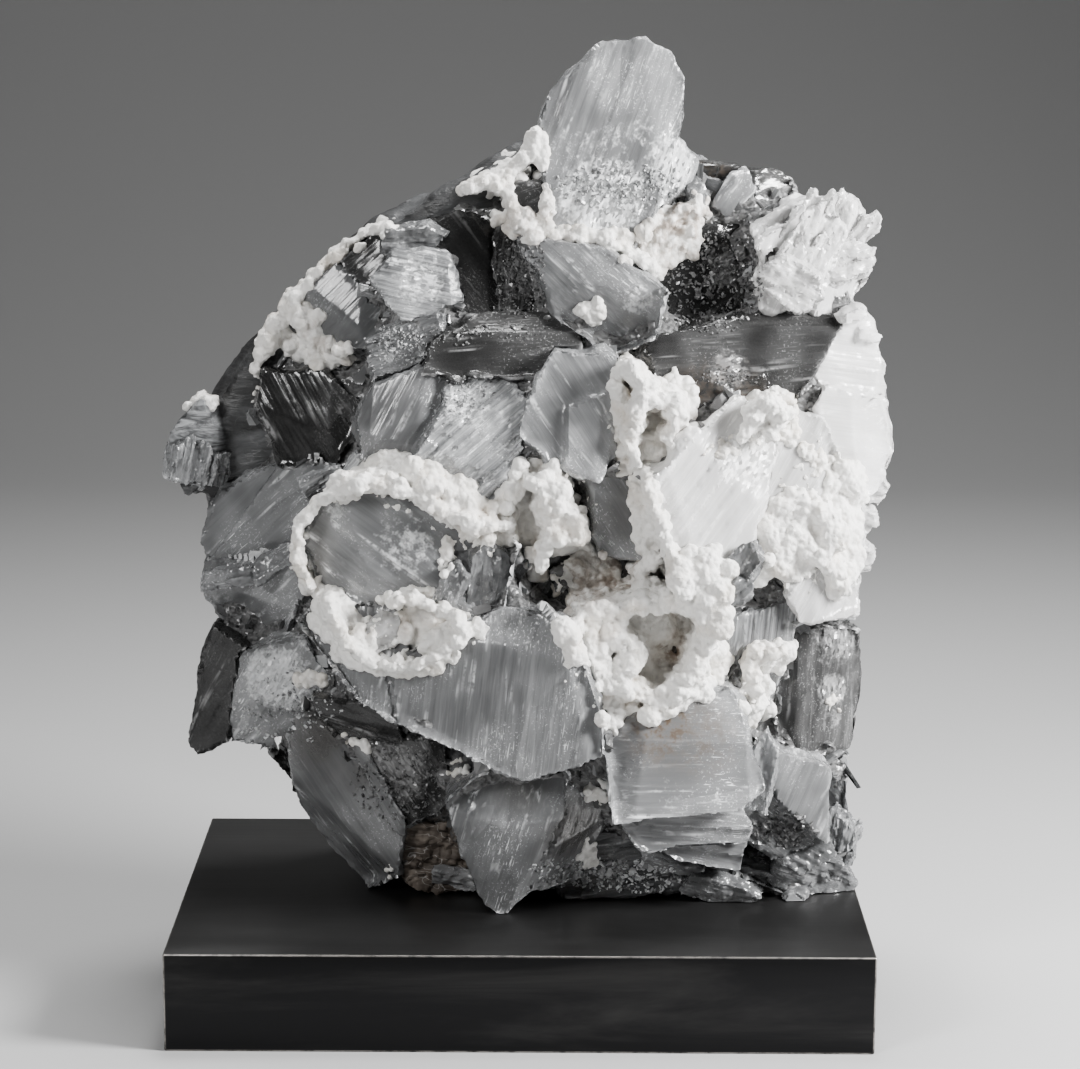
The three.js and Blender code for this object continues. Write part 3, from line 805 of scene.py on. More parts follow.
@dataclass(frozen=True)
class SteelFinish:
    """A finish for the plinth: blackened steel, brushed along its length, with bright edges and a painted
    sheen of reflected light on its top.
    """

    slot: str = "blackened_steel"
    black: Colour = (0.032, 0.032, 0.033, 1.0)
    pale_edge: Colour = (0.42, 0.4, 0.38, 1.0)
    edge_wear: float = 1.2

    def edge(self, board: Board, place: bpy.types.NodeSocket, low: Vector,
             high: Vector) -> bpy.types.NodeSocket:
        """Finds the places near the block's edges.

        Args:
            board: The material's board.
            place: The surface's coordinates.
            low: The block's lowest corner.
            high: Its highest corner.

        Returns:
            A value that is 1 on an edge and 0 beyond the wear.
        """
        apart = board.vectors("ABSOLUTE", {0: board.vectors("SUBTRACT", {0: place, 1: (low + high) / 2})})
        inset = board.vectors("SUBTRACT", {0: (high - low) / 2, 1: apart})
        x, y, z = board.add("SeparateXYZ", {0: inset}).outputs
        nearer = board.maths("MINIMUM", x, y)
        farther = board.most(x, y)
        second = board.most(nearer, board.maths("MINIMUM", farther, z))
        return board.ramp(second, self.edge_wear * MM, 0.3 * self.edge_wear * MM)

    def build(self, low: Vector, high: Vector) -> bpy.types.Material:
        """Makes the material.

        Args:
            low: The block's lowest corner.
            high: Its highest corner.

        Returns:
            The material.
        """
        board = Board(self.slot)
        place = board.object_place()
        edge = self.edge(board, place, low, high)
        brush = board.noise(board.scaled(place, (8.0, 1500.0, 1500.0)), 1.0, 3.0, 0.6)
        stain = board.noise(board.scaled(place, (6.0, 14.0, 40.0)), 1.0, 5.0, 0.6, 0.5)
        wear = board.noise(place, 120.0, 4.0, 0.7)
        bright = board.times(edge, board.ramp(wear, 0.25, 0.6))
        colour = board.mix(board.ramp(stain, 0.42, 0.75), self.black, grey(0.06, 0.01))
        # A lighter colour on the top face: a painted sheen of the reflected light.
        lit = board.ramp(board.add("SeparateXYZ", {0: place}).outputs["Z"], high.z - MM, high.z - 0.5 * MM)
        lit = board.times(lit, board.plus(0.5, board.times(stain, 0.5)))
        colour = board.mix(lit, colour, grey(0.22, 0.005))
        colour = board.mix(bright, colour, self.pale_edge)
        rough = board.plus(0.22, board.times(brush, 0.12))
        rough = board.plus(rough, board.times(stain, 0.12))
        rough = board.plus(rough, board.times(lit, 0.12))
        normal = board.bump(brush, 0.05, 0.35)
        return board.finish({"Base Color": colour, "Metallic": 1.0, "Roughness": rough, "Normal": normal})


@dataclass(frozen=True)
class Habit:
    """How a kind of crystal breaks.

    Attributes:
        finish: Its finish.
        reliefs: The layers of relief on it, first to last.
    """

    finish: Selenite
    reliefs: tuple[Relief, ...]


RAGGED = (swells(34, 26, 20, 7, Where.SIDES),
          swells(14, 8, 9, 5, Where.SIDES),
          swells(4, 3, 3, 1.8, Where.SIDES))

CLEAR = Habit(
    Selenite("clear_selenite", grey(0.27, -0.015), grey(0.9, -0.01), 0.5, 0.10, 0.12, 0.0, 0.5, 1.0, 0.4),
    (swells(60, 30, 40, 5), steps(220, 13, 60, 0.9, Where.FACES),
     steps(90, 4, 30, 0.5, Where.FACES), swells(90, 5, 9, 0.9), *RAGGED),
)
FROSTED = Habit(
    Selenite("frosted_selenite", grey(0.2, -0.02), grey(0.95, -0.01), 0.35, 0.08, 0.5, 0.0, 2.0, 1.0, 0.3),
    (steps(60, 7, 20, 2.2), steps(14, 3, 6, 1.2),
     swells(40, 4, 6, 1.8), *RAGGED),
)
SMOKY = Habit(
    Selenite("smoky_selenite", grey(0.035, 0.005), grey(0.26, 0.0), 0.4, 0.09, 0.12, 0.0, 0.25, 0.5, 0.2),
    (swells(50, 26, 30, 6), steps(220, 7, 40, 1.4),
     swells(16, 7, 8, 2), *RAGGED),
)
WHITE = Habit(
    Selenite("white_selenite", grey(0.66, 0.008), grey(0.93, 0.004), 0.15, 0.18, 0.15, 0.2, 0.6, 0.6, 0.4),
    (swells(50, 22, 30, 7), steps(200, 8, 40, 1.8),
     swells(40, 5, 8, 2.4), *RAGGED),
)


def turn_on_face(out: Vector, angle: float) -> Matrix:
    """Gives the rotation of something that lies on a face.

    Args:
        out: The face's normal.
        angle: The angle of its length from +X towards +Z, seen from the front.

    Returns:
        The rotation whose columns run along it, across it, and out of the face.
    """
    step_x, step_z = math.cos(math.radians(angle)), math.sin(math.radians(angle))
    along = Vector((step_x, -(out.x * step_x + out.z * step_z) / out.y, step_z)).normalized()
    return Matrix((along, out.cross(along), out)).transposed()


def blade_move(middle: Vector, turn: Matrix, length: float, width: float, thick: float) -> Matrix:
    """Gives the matrix that makes a blade of a plain sliver.

    Args:
        middle: The blade's middle, in metres.
        turn: Its rotation.
        length: Its length.
        width: Its width.
        thick: Its thickness.

    Returns:
        The matrix.
    """
    size = Matrix.Diagonal(Vector((length, 2.0 * width, 4.0 * thick)) * MM).to_4x4()
    return Matrix.Translation(middle) @ turn.to_4x4() @ size


@dataclass(frozen=True)
class Spur:
    """A smaller blade that has grown out of a crystal's edge.

    Attributes:
        place: The X and Z of its middle.
        length: Its length.
        width: Its width.
        angle: The angle of its point from +X towards +Z.
        depth: How far its middle lies behind the crystal's main face.
        thick: Its thickness.
    """

    place: tuple[float, float]
    length: float
    width: float
    angle: float
    depth: float = 8.0
    thick: float = 9.0

    def move(self, face: Face) -> Matrix:
        """Gives the matrix that puts a sliver in the spur's place on a crystal's face."""
        out = face.turn.col[2]
        x, z = self.place
        middle = Vector((x, (face.height - self.depth - out.x * x - out.z * z) / out.y, z))
        return blade_move(middle * MM, turn_on_face(out, self.angle), self.length, self.width, self.thick)


@dataclass(frozen=True)
class Crystal:
    """One crystal of the cluster.

    Attributes:
        node: The frame's node that it stands for.
        habit: How it breaks.
        grain: The angle of its striae from +X towards +Z.
        tone: Its brightness against others of its kind.
        rough: How strong its faces' relief is against others of its kind.
        cuts: The folds and steps of its main face.
        patches: The areas on it with a look of their own.
        spurs: The smaller blades on its edges.
        voxel: The size of its mesh's faces.
    """

    node: str
    habit: Habit
    grain: float
    tone: float = 1.0
    rough: float = 1.0
    cuts: tuple[Cut, ...] = ()
    patches: tuple[Patch, ...] = ()
    spurs: tuple[Spur, ...] = ()
    voxel: float = 1.5

    def build(self, material: bpy.types.Material, neighbours: Neighbours, phase: Vector) -> bpy.types.Object:
        """Models the crystal and dresses it.

        Args:
            material: Its finish.
            neighbours: The pieces that it grows out to.
            phase: Where its patterns start.

        Returns:
            The crystal.
        """
        piece = copy_of_node(self.node, self.node.replace("_crystal", "") + "_blade")
        face = Face.of(piece, self.grain)
        turn = face.turn
        if self.spurs:
            blades = joined_copies(self.node + "_spurs", *sliver(), [spur.move(face) for spur in self.spurs])
            join_to(piece, blades)
        remesh(piece, self.voxel)
        part_faces_from_sides(piece, turn)
        neighbours.close_gaps(piece, self.node)
        face.make(piece, self.cuts)
        reliefs = [relief if relief.where is Where.SIDES
                   else replace(relief, height=relief.height * self.rough) for relief in self.habit.reliefs]
        raise_reliefs(piece, reliefs, turn, phase, LAYERS_APART)
        piece.vertex_groups.clear()
        keep_above_plinth(piece)
        grain = (corner_places(piece) + np.array(phase)) @ np.array(turn)
        store_crystal(piece, grain, self.tone, patches=self.patches)
        finish_piece(piece, material, self.habit.finish.slot, self.node)
        return piece


def cuts(*rows: tuple[float, ...]) -> tuple[Cut, ...]:
    """Gives cuts from rows of their start's X and Z, their end's X and Z, their slope and their drop."""
    return tuple(Cut((x, z), (end_x, end_z), *depths) for x, z, end_x, end_z, *depths in rows)


def spurs(*rows: tuple[float, ...]) -> tuple[Spur, ...]:
    """Gives spurs from rows of their X and Z, then the rest of what a spur has."""
    return tuple(Spur((x, z), *sizes) for x, z, *sizes in rows)


def frost(x: float, y: float, z: float, reach: float, amount: float = 1.0) -> Patch:
    """Gives a frosted patch; on the crown it is partly a painted highlight, and on the rock's knob a painted
    sheen.
    """
    return Patch(Stain.FROST_AND_SHEEN, (x, y, z), reach, amount)


def earth(x: float, y: float, z: float, reach: float, amount: float = 1.0) -> Patch:
    """Gives a brown patch: a real stain in places, and painted shade in recesses and on shaded lumps in
    others.
    """
    return Patch(Stain.BROWN_STAIN_AND_SHADE, (x, y, z), reach, amount)


def smoke(x: float, y: float, z: float, reach: float, amount: float = 1.0) -> Patch:
    """Gives a dark patch: smoky colour in places, and a painted shadow under the apron in others."""
    return Patch(Stain.SMOKE, (x, y, z), reach, amount)


CRYSTALS = (
    # The crown's frosted patches are partly real frosting; the row of small ones along its top and the one on
    # its right paint its bright band: a painted highlight.
    Crystal("crown_crystal", CLEAR, 70, 1.2, 0.8, cuts((66, 440, 60, 500, 0.22),
            (30, 492, 13, 440, 0.3), (10, 424, 90, 424, 0.2)), (frost(40, -12, 418, 30, 0.9),
            frost(74, -2, 436, 22, 0.8), frost(20, -14, 446, 13, 0.4), frost(30, -14, 447, 13, 0.4),
            frost(40, -12, 448, 13, 0.4), frost(50, -12, 449, 13, 0.4), frost(60, -10, 451, 13, 0.4))),
    Crystal("crown_foot_prism", SMOKY, 20, 1.6, 0.4),
    Crystal("summit_dark_crystal", SMOKY, 4, 1.8, 0.6, cuts((118, 412, 120, 440, 0.6),
            (102, 440, 98, 412, 0.5)), (earth(90, 15, 424, 20, 0.7),)),
    Crystal("spiky_crystal", WHITE, 64, 0.95, 1.3, cuts((150, 366, 158, 425, 0.5),
            (165, 399, 120, 392, 0.15, 3), (140, 425, 116, 366, 0.3)), (frost(160, -5, 395, 30, 0.5),),
            spurs((146, 417, 16, 7, 78), (157, 416, 16, 9, 70, 4), (163, 415, 14, 6, 60, 10),
            (166, 404, 20, 10, 30, 6), (166, 394, 14, 8, 5, 12), (166, 381, 24, 11, -8, 5),
            (158, 374, 26, 8, -30, 3), (138, 406, 26, 9, 60, 3), (126, 398, 24, 9, 40, 5),
            (134, 388, 30, 10, 58, 1), (150, 392, 26, 10, 72, 0))),
    Crystal("upper_right_dark_crystal", SMOKY, 30, 1.2, 0.8, cuts((110, 366, 100, 400, 0.6)),
            (frost(105, -5, 385, 20, 0.6),)),
    Crystal("smoky_crystal", SMOKY, 3, 1.5, 0.5, cuts((160, 351, 60, 350, 0.45),
            (60, 338, 160, 337, 0.3), (72, 380, 62, 320, 0.4)), (earth(98, -40, 312, 34, 0.5),
            frost(104, -35, 334, 16, 0.7))),
    Crystal("wedge_crystal", CLEAR, -42, 1, 0.6, cuts((46, 362, 8, 402, 0.22), (44, 378, 76, 382, 0.6)),
            (frost(58, -30, 368, 14, 0.6),)),
    Crystal("white_fan_crystal", WHITE, -10, 1.1, 0.5, cuts((170, 270, 166, 362, 0.45),
            (150, 300, 190, 290, 0.12)), (frost(182, -5, 310, 24, 0.3),),
            spurs((168, 360, 18, 8, 20, 8), (176, 348, 14, 7, -10, 10), (177, 330, 14, 6, 10, 14),
            (180, 314, 16, 7, -6, 16), (182, 302, 14, 6, 12, 16), (184, 290, 16, 8, -12, 16),
            (178, 280, 16, 8, -40, 14))),
    Crystal("white_flank_crystal", WHITE, 60, 0.9, 0.8, cuts((150, 230, 150, 300, 0.3)),
            (frost(165, -20, 240, 30, 0.8),)),
    Crystal("centre_bright_crystal", WHITE, 52, 1.1, 0.8, cuts((72, 288, 92, 230, 0.35),
            (125, 262, 88, 300, 0.25)), (frost(112, -55, 292, 22, 0.7),)),
    Crystal("centre_crystal", CLEAR, 124, 1.35, 0.35, cuts((23, 318, 21, 280, 0.1, 3.5),
            (44, 326, 22, 317, 0.1, 3.5), (17, 347, 4, 316, 0.8), (36, 280, 40, 347, 0.4)),
            (smoke(54, -44, 262, 20, 0.6),)),
    Crystal("silver_crystal", FROSTED, 40, 1.5, 1.2, cuts((0, 316, -48, 304, 0.4),
            (-8, 280, 2, 316, 0.3, 1), (-40, 292, 0, 280, 0.5)), (frost(-28, -50, 322, 20, 0.8),)),
    Crystal("rounded_crystal", CLEAR, 62, 1.05, 0.4, cuts((-56, 288, -49, 330, 0.7),
            (-75, 332, -79, 290, 0.6), (-84, 300, -48, 296, 0.4))),
    Crystal("upper_slab_crystal", SMOKY, 4, 1.8, 0.4, cuts((30, 352, -80, 350, 0.5),
            (-80, 343, 30, 342, 0.3))),
    Crystal("granular_grey_crystal", FROSTED, 20, 0.75, 0.8),
    Crystal("frosted_upper_crystal", FROSTED, -12, 1.2, 0.6, cuts((-36, 362, -40, 398, 1)),
            (frost(-52, -22, 378, 20, 0.6),)),
    Crystal("upper_left_crystal", CLEAR, 46, 0.95, 0.5, cuts((-84, 350, -80, 395, 0.5),
            (-112, 372, -84, 352, 0.4))),
    Crystal("upper_dark_wedge", SMOKY, 40, 1.3, 0.5),
    Crystal("upper_dark_crystal", SMOKY, -50, 1, 0.7, cuts((-18, 360, -20, 420, 0.7))),
    Crystal("upper_sparkling_crystal", SMOKY, 80, 1.1, 0.8, (), (frost(0, -18, 380, 22, 0.6),)),
    Crystal("left_dark_crystal", SMOKY, -60, 1.5, 0.2, cuts((-100, 284, -97, 336, 0.5),
            (-134, 308, -96, 296, 0.2))),
    Crystal("left_upper_crystal", CLEAR, 45, 1.15, 0.9, cuts((-116, 294, -151, 246, 0.2, 3),
            (-152, 236, -98, 280, 0.3), (-136, 292, -162, 256, 0.5))),
    Crystal("left_lower_crystal", CLEAR, 46, 0.9, 1.1, cuts((-165, 212, -118, 204, 0.5),
            (-148, 252, -162, 226, 0.5), (-118, 196, -116, 250, 0.4))),
    Crystal("low_left_crystal", CLEAR, 56, 1.05, 1, cuts((-138, 198, -154, 146, 0.7),
            (-150, 152, -96, 150, 0.3)), (frost(-128, -15, 168, 26, 0.8),
            frost(-110, -15, 190, 16, 0.6))),
    Crystal("low_left_dark_crystal", SMOKY, 62, 1.4, 0.7, cuts((-152, 140, -140, 196, 0.6),
            (-158, 200, -170, 150, 0.7))),
    Crystal("small_dark_crystal", SMOKY, -24, 1.6, 0.6, cuts((-66, 158, -104, 168, 0.4),
            (-100, 154, -60, 146, 0.4))),
    Crystal("under_apron_crystal", SMOKY, -60, 1.5, 1, cuts((-54, 100, -48, 150, 0.5)),
            (frost(-66, -34, 122, 26, 0.7),)),
    # Its two dark patches are the painted shadow under the apron.
    Crystal("left_foot_crystal", CLEAR, -58, 0.95, 0.7, cuts((-90, 104, -120, 154, 0.5),
            (-104, 100, -72, 72, 0.5), (-70, 72, -84, 112, 0.5)), (smoke(-102, -20, 138, 26, 1),
            smoke(-86, -20, 120, 14, 0.7))),
    Crystal("framed_crystal", CLEAR, -34, 1.3, 0.8, cuts((-92, 270, -78, 230, 0.3, 0.8),
            (-112, 232, -36, 229, 0.3), (-44, 232, -58, 268, 0.4)), (frost(-70, -58, 204, 20, 0.8),
            frost(-96, -50, 262, 14, 0.5), frost(-58, -58, 248, 28, 0.45))),
    Crystal("apron_crystal", CLEAR, 83, 1.15, 0.5, cuts((-70, 198, -57, 150, 0.7),
            (24, 206, -20, 197, 0.5), (37, 126, 21, 204, 0.6), (-3, 200, 9, 126, 0.14),
            (-40, 190, -28, 136, 0.1))),
    # Its two dark patches are the painted shadow cast by the apron above it.
    Crystal("front_point_crystal", CLEAR, 74, 1.1, 0.8, cuts((-9, 52, 22, 112, 0.9),
            (26, 108, -22, 102, 0.6), (-14, 118, -4, 72, 0.25), (-30, 112, -22, 60, 0.5)),
            (smoke(26, -50, 98, 24, 0.9), smoke(0, -50, 120, 22, 0.8))),
    Crystal("stack_upper_crystal", CLEAR, -3, 1.25, 0.4, cuts((124, 152, 44, 149, 0.3),
            (66, 172, 57, 108, 0.4), (117, 110, 113, 170, 0.8)), (earth(72, -62, 156, 26, 1),
            earth(92, -58, 148, 24, 0.7), smoke(76, -60, 152, 34, 0.5), frost(74, -66, 122, 16, 0.4))),
    Crystal("stack_middle_crystal", CLEAR, -7, 1.25, 0.8, cuts((44, 103, 124, 97, 0.3, 1.5))),
    Crystal("stack_lower_crystal", CLEAR, -14, 1.1, 0.8, cuts((44, 96, 120, 79, 0.3, 1.5))),
    Crystal("frosted_right_crystal", FROSTED, 84, 1.1, 0.7, cuts((100, 196, 140, 192, 0.4))),
    Crystal("right_dark_crystal", SMOKY, 86, 2, 0.9, cuts((151, 140, 151, 210, 0.1, 2),
            (163, 140, 161, 210, 0.5), (144, 210, 143, 140, 0.5)), (frost(166, -15, 190, 22, 0.6),
            frost(163, -15, 162, 12, 0.9))),
    Crystal("right_plate_crystal", CLEAR, 66, 1, 0.5),
    Crystal("right_foot_crystal", CLEAR, -58, 0.9, 0.8, cuts((158, 88, 149, 122, 0.2, 2.5)),
            (frost(165, -18, 90, 20, 0.6),)),
    Crystal("low_rubble_crystal", FROSTED, 10, 0.5, 1.2, (), (earth(30, -30, 62, 30, 0.5),)),
    Crystal("inner_centre_crystal", SMOKY, 60, 1.4, 0.6, (), (earth(66, -36, 196, 30, 0.9),),
            voxel=2.4),
    Crystal("inner_right_crystal", FROSTED, 70, 0.9, 1, voxel=1.6),
    Crystal("loose_chip", CLEAR, 10, 1.2, 0.3, voxel=0.6),
)


@dataclass(frozen=True)
class SmallCrystal:
    """A small crystal that has grown on the larger ones.

    Attributes:
        name: The piece's name.
        habit: How it breaks.
        place: The X and Z of its middle, in the plane of the front crystals.
        length: Its length.
        width: Its width.
        thick: Its thickness.
        angle: The angle of its point from +X towards +Z.
        tilt: How far it is turned about its own length and about its width.
        tone: Its brightness against others of its kind.
        depth: The Y of its middle, where it does not lie on the skin.
    """

    name: str
    habit: Habit
    place: tuple[float, float]
    length: float
    width: float
    thick: float
    angle: float
    tilt: tuple[float, float] = (0.0, 0.0)
    tone: float = 1.0
    depth: float | None = None

    def build(self, material: bpy.types.Material, skin: "Skin", phase: Vector) -> bpy.types.Object:
        """Models the crystal on the skin and dresses it.

        Args:
            material: Its finish.
            skin: The crystals that it has grown on.
            phase: Where its patterns start.

        Returns:
            The crystal.
        """
        middle = Vector((self.place[0], self.depth or 0.0, self.place[1])) * MM
        middle = skin.under(*self.place)[0] if self.depth is None else middle
        turn = Matrix.Identity(3)
        for angle, axis in ((-self.angle, "Y"), (90.0, "X"), (self.tilt[0], "X"), (self.tilt[1], "Y")):
            turn = turn @ Matrix.Rotation(math.radians(angle), 3, axis)
        move = blade_move(middle, turn, self.length, self.width, self.thick)
        piece = joined_copies(self.name, *sliver(), [move])
        remesh(piece, SMALL_VOXEL)
        part_faces_from_sides(piece, turn)
        reliefs = [replace(relief, size=tuple(step * SMALL_SIZE for step in relief.size),
                           height=relief.height * SMALL_HEIGHT, where=Where.ALL)
                   for relief in self.habit.reliefs]
        raise_reliefs(piece, reliefs, turn, phase, LAYERS_APART)
        piece.vertex_groups.clear()
        keep_above_plinth(piece)
        store_crystal(piece, (corner_places(piece) + np.array(phase)) @ np.array(turn), self.tone)
        finish_piece(piece, material, self.habit.finish.slot)
        return piece


SMALL_CRYSTALS = tuple(SmallCrystal(*row) for row in (
    ("gap_grey_blade", CLEAR, (-18, 232), 40, 22, 14, 82, (12, 0), 0.8),
    ("gap_small_blade", CLEAR, (-34, 226), 26, 14, 12, 70, (-18, 0), 0.9),
    ("drip_side_blade", CLEAR, (24, 232), 22, 14, 10, 20, (10, 10), 0.9),
    ("right_gap_blade", CLEAR, (112, 236), 30, 16, 14, 62, (-16, 0), 0.8),
    ("right_gap_low_blade", CLEAR, (106, 222), 30, 15, 12, 36, (14, 0), 0.9),
    ("backing_blade", CLEAR, (124, 128), 48, 14, 10, 82, (-10, 0), 1.3),
    ("rim_top_blade", CLEAR, (-54, 402), 36, 15, 12, 2, (20, 0), 0.7),
    ("rim_left_blade", CLEAR, (-122, 345), 30, 16, 10, 58, (-14, 0), 1),
    ("corner_bright_blade", FROSTED, (-82, 286), 18, 12, 10, 48, (16, 0), 1.8),
    ("knob_blade", FROSTED, (-168, 290), 30, 22, 18, 78, (24, 0), 1.2),
    ("knob_side_blade", FROSTED, (-156, 288), 24, 16, 16, 80, (-24, 0), 1),
    ("foot_pale_wedge", CLEAR, (-32, 72), 32, 12, 12, -8, (30, 0), 1.1),
    ("stack_foot_blade", CLEAR, (78, 79), 36, 9, 10, -10, (30, 0), 1.1),
    ("right_foot_blade", CLEAR, (116, 76), 40, 12, 12, -12, (24, 0), 0.9),
    ("right_foot_shard", CLEAR, (136, 80), 30, 14, 12, -40, (-20, 0), 0.9),
    ("right_gap_plate", CLEAR, (130, 98), 58, 36, 22, -38, (10, 0), 0.7, -24),
    ("right_gap_low_plate", CLEAR, (142, 84), 50, 32, 20, -30, (-8, 0), 0.8, -20),
    ("right_foot_plate", CLEAR, (150, 74), 54, 26, 16, -22, (0, 12), 0.9),
    ("right_corner_blade", FROSTED, (160, 88), 48, 26, 14, 80, (-12, 0), 0.8),
    ("foot_front_blade", CLEAR, (104, 66), 46, 18, 14, -14, (24, 0), 0.8),
    ("spiky_front_blade", WHITE, (142, 400), 50, 28, 10, 58, (14, 10), 1),
    ("spiky_right_blade", WHITE, (158, 390), 40, 22, 9, 18, (-12, 14), 0.95),
    ("spiky_low_blade", WHITE, (134, 380), 38, 24, 9, -34, (8, 12), 0.9),
    ("spiky_top_blade", WHITE, (155, 412), 32, 16, 8, 74, (-8, 0), 1),
    ("spiky_point_blade", WHITE, (168, 406), 24, 12, 8, 46, (20, 0), 0.95),
    ("loop_cream_blade", WHITE, (-72, 200), 26, 18, 8, 30, (0, 0), 0.8),
    ("left_seam_blade", CLEAR, (-141, 231), 50, 13, 9, 10, (14, 0), 1.15),
    ("left_seam_tip", CLEAR, (-124, 238), 34, 12, 8, 34, (-10, 0), 1.1),
    ("corner_low_blade", FROSTED, (-101, 280), 26, 11, 9, 30, (10, 0), 1.5),
    *((f"flank_tooth_{number}", WHITE, place, 22, 17, 11, angle, (12, 0), 0.95, 20)
      for number, (*place, angle) in enumerate((
          (161, 313, 58), (175, 296, 34), (182, 281, 14), (183, 264, -8), (177, 247, -28), (177, 226, 10)))),
))


class CrystalGroup:
    """All the crystals of the cluster."""

    def __init__(self) -> None:
        """Makes the crystals' materials."""
        self.materials = {habit.finish.slot: habit.finish.build() for habit in (CLEAR, FROSTED, SMOKY, WHITE)}

    def build(self) -> list[bpy.types.Object]:
        """Builds every crystal, each with its own start to the patterns."""
        pieces = []
        neighbours = Neighbours()
        for number, crystal in enumerate(CRYSTALS):
            phase = Vector((53.0 * number, 31.0 * number, 17.0 * number))
            pieces.append(crystal.build(self.materials[crystal.habit.finish.slot], neighbours, phase))
        return pieces


@dataclass(frozen=True)
class Field:
    """A patch of the cluster's skin over which small pieces are scattered.

    Attributes:
        middle: The patch's middle, along X and Z, in the plane of the front crystals.
        reach: How far it goes from its middle along its own two axes.
        count: How many pieces lie on it.
        sizes: The smallest and the largest size of a piece.
        turn: The angle of its own axes.
    """

    middle: tuple[float, float]
    reach: tuple[float, float]
    count: int
    sizes: tuple[float, float]
    turn: float = 0.0


def fields(*rows: tuple[float, ...]) -> tuple[Field, ...]:
    """Gives fields from rows of X and Z, reaches, count, sizes and turn."""
    return tuple(Field((x, z), (along, across), count, (low, high), *turn)
                 for x, z, along, across, count, low, high, *turn in rows)


class Skin:
    """The outer surface of finished pieces, onto which small pieces are set."""

    eye = Vector((9.0, -1534.0, 559.0)) * MM
    front = -50.0

    def __init__(self, pieces: list[bpy.types.Object]) -> None:
        """Reads the pieces' surfaces.

        Args:
            pieces: The pieces.
        """
        depsgraph = bpy.context.evaluated_depsgraph_get()
        self.trees = [BVHTree.FromObject(piece, depsgraph) for piece in pieces]

    def under(self, x: float, z: float) -> tuple[Vector, Vector] | None:
        """Finds the skin's place behind a point in the plane of the front crystals.

        Args:
            x: The point's X.
            z: The point's Z.

        Returns:
            The place and the skin's normal there, or None where there is no skin.
        """
        way = (Vector((x, self.front, z)) * MM - self.eye).normalized()
        hits = [tree.ray_cast(self.eye, way) for tree in self.trees]
        hits = [hit for hit in hits if hit[0] is not None]
        if not hits:
            return None
        place, normal, _, _ = min(hits, key=lambda hit: hit[3])
        return place, normal

    def scatter(self, field_of: Field, dice: random.Random) -> list[tuple[Vector, Vector, float]]:
        """Picks places for a field's pieces.

        Args:
            field_of: The field.
            dice: The source of chance.

        Returns:
            Each piece's place, the skin's normal there and the piece's size in metres.
        """
        cosine, sine = math.cos(math.radians(field_of.turn)), math.sin(math.radians(field_of.turn))
        chosen = []
        for _ in range(field_of.count):
            angle, away = dice.uniform(0.0, math.tau), dice.random() ** 0.6
            along = field_of.reach[0] * away * math.cos(angle)
            across = field_of.reach[1] * away * math.sin(angle)
            hit = self.under(field_of.middle[0] + along * cosine - across * sine,
                             field_of.middle[1] + along * sine + across * cosine)
            size = between(*field_of.sizes, dice.random() ** 1.5 * (1.0 - 0.45 * away))
            if hit is not None:
                chosen.append((hit[0], hit[1], size * MM))
        return chosen


def joined_copies(name: str, corners: np.ndarray, faces: np.ndarray, moves: list[Matrix]) -> bpy.types.Object:
    """Makes one mesh of many copies of a small shape.

    Args:
        name: The new piece's name.
        corners: The small shape's corners.
        faces: The corner numbers of its faces.
        moves: The matrix that puts each copy in its place.

    Returns:
        The piece.
    """
    ones = np.hstack([corners, np.ones((len(corners), 1))])
    placed = np.vstack([ones @ np.array(move)[:3].T for move in moves])
    numbers = np.vstack([faces + len(corners) * number for number in range(len(moves))])
    mesh = bpy.data.meshes.new(name)
    mesh.from_pydata(placed.tolist(), [], numbers.tolist())
    return linked(bpy.data.objects.new(name, mesh))


def ball() -> Shape:
    """Gives the corners and faces of a small round shape with a radius of 1."""
    bpy.ops.object.select_all(action="DESELECT")
    bpy.ops.mesh.primitive_ico_sphere_add(subdivisions=2, radius=1.0)
    pattern = bpy.context.active_object
    corners = np.array([vertex.co for vertex in pattern.data.vertices])
    faces = np.array([tuple(face.vertices) for face in pattern.data.polygons])
    bpy.data.objects.remove(pattern)
    return corners, faces


def sliver() -> Shape:
    """Gives the corners and faces of a cleavage sliver with a chisel point, 1 long and half as wide."""
    corners = np.array([(-0.5, -0.22, -0.12), (0.3, -0.25, -0.12), (0.5, 0.05, -0.1), (0.25, 0.25, -0.12),
                        (-0.42, 0.2, -0.12), (-0.46, -0.2, 0.12), (0.26, -0.23, 0.13), (0.47, 0.06, 0.09),
                        (0.22, 0.22, 0.12), (-0.4, 0.22, 0.1)])
    faces = [(4, 3, 2), (4, 2, 1), (4, 1, 0), (5, 6, 7), (5, 7, 8), (5, 8, 9)]
    for number in range(5):
        after = (number + 1) % 5
        faces += [(number, after, after + 5), (number, after + 5, number + 5)]
    return corners, np.array(faces)


def tumbled(place: Vector, normal: Vector, spin: float, leans: tuple[float, float],
            dice: random.Random) -> Matrix:
    """Gives the matrix of a sliver that stands on a surface by chance.

    Args:
        place: Its place on the surface, in metres.
        normal: The surface's normal there.
        spin: How far it is turned about the normal, in radians.
        leans: How much it leans along and across, in radians, on average.
        dice: The source of chance.

    Returns:
        The matrix, without the sliver's size.
    """
    lie = normal.to_track_quat("Z", "Y").to_matrix().to_4x4() @ Matrix.Rotation(spin, 4, "Z")
    for lean, axis in zip(leans, "YX"):
        lie = lie @ Matrix.Rotation(dice.gauss(0.0, lean), 4, axis)
    return Matrix.Translation(place) @ lie


def between(low: float, high: float, share: float) -> float:
    """Gives the number at a share of the way from low to high."""
    return low + (high - low) * share


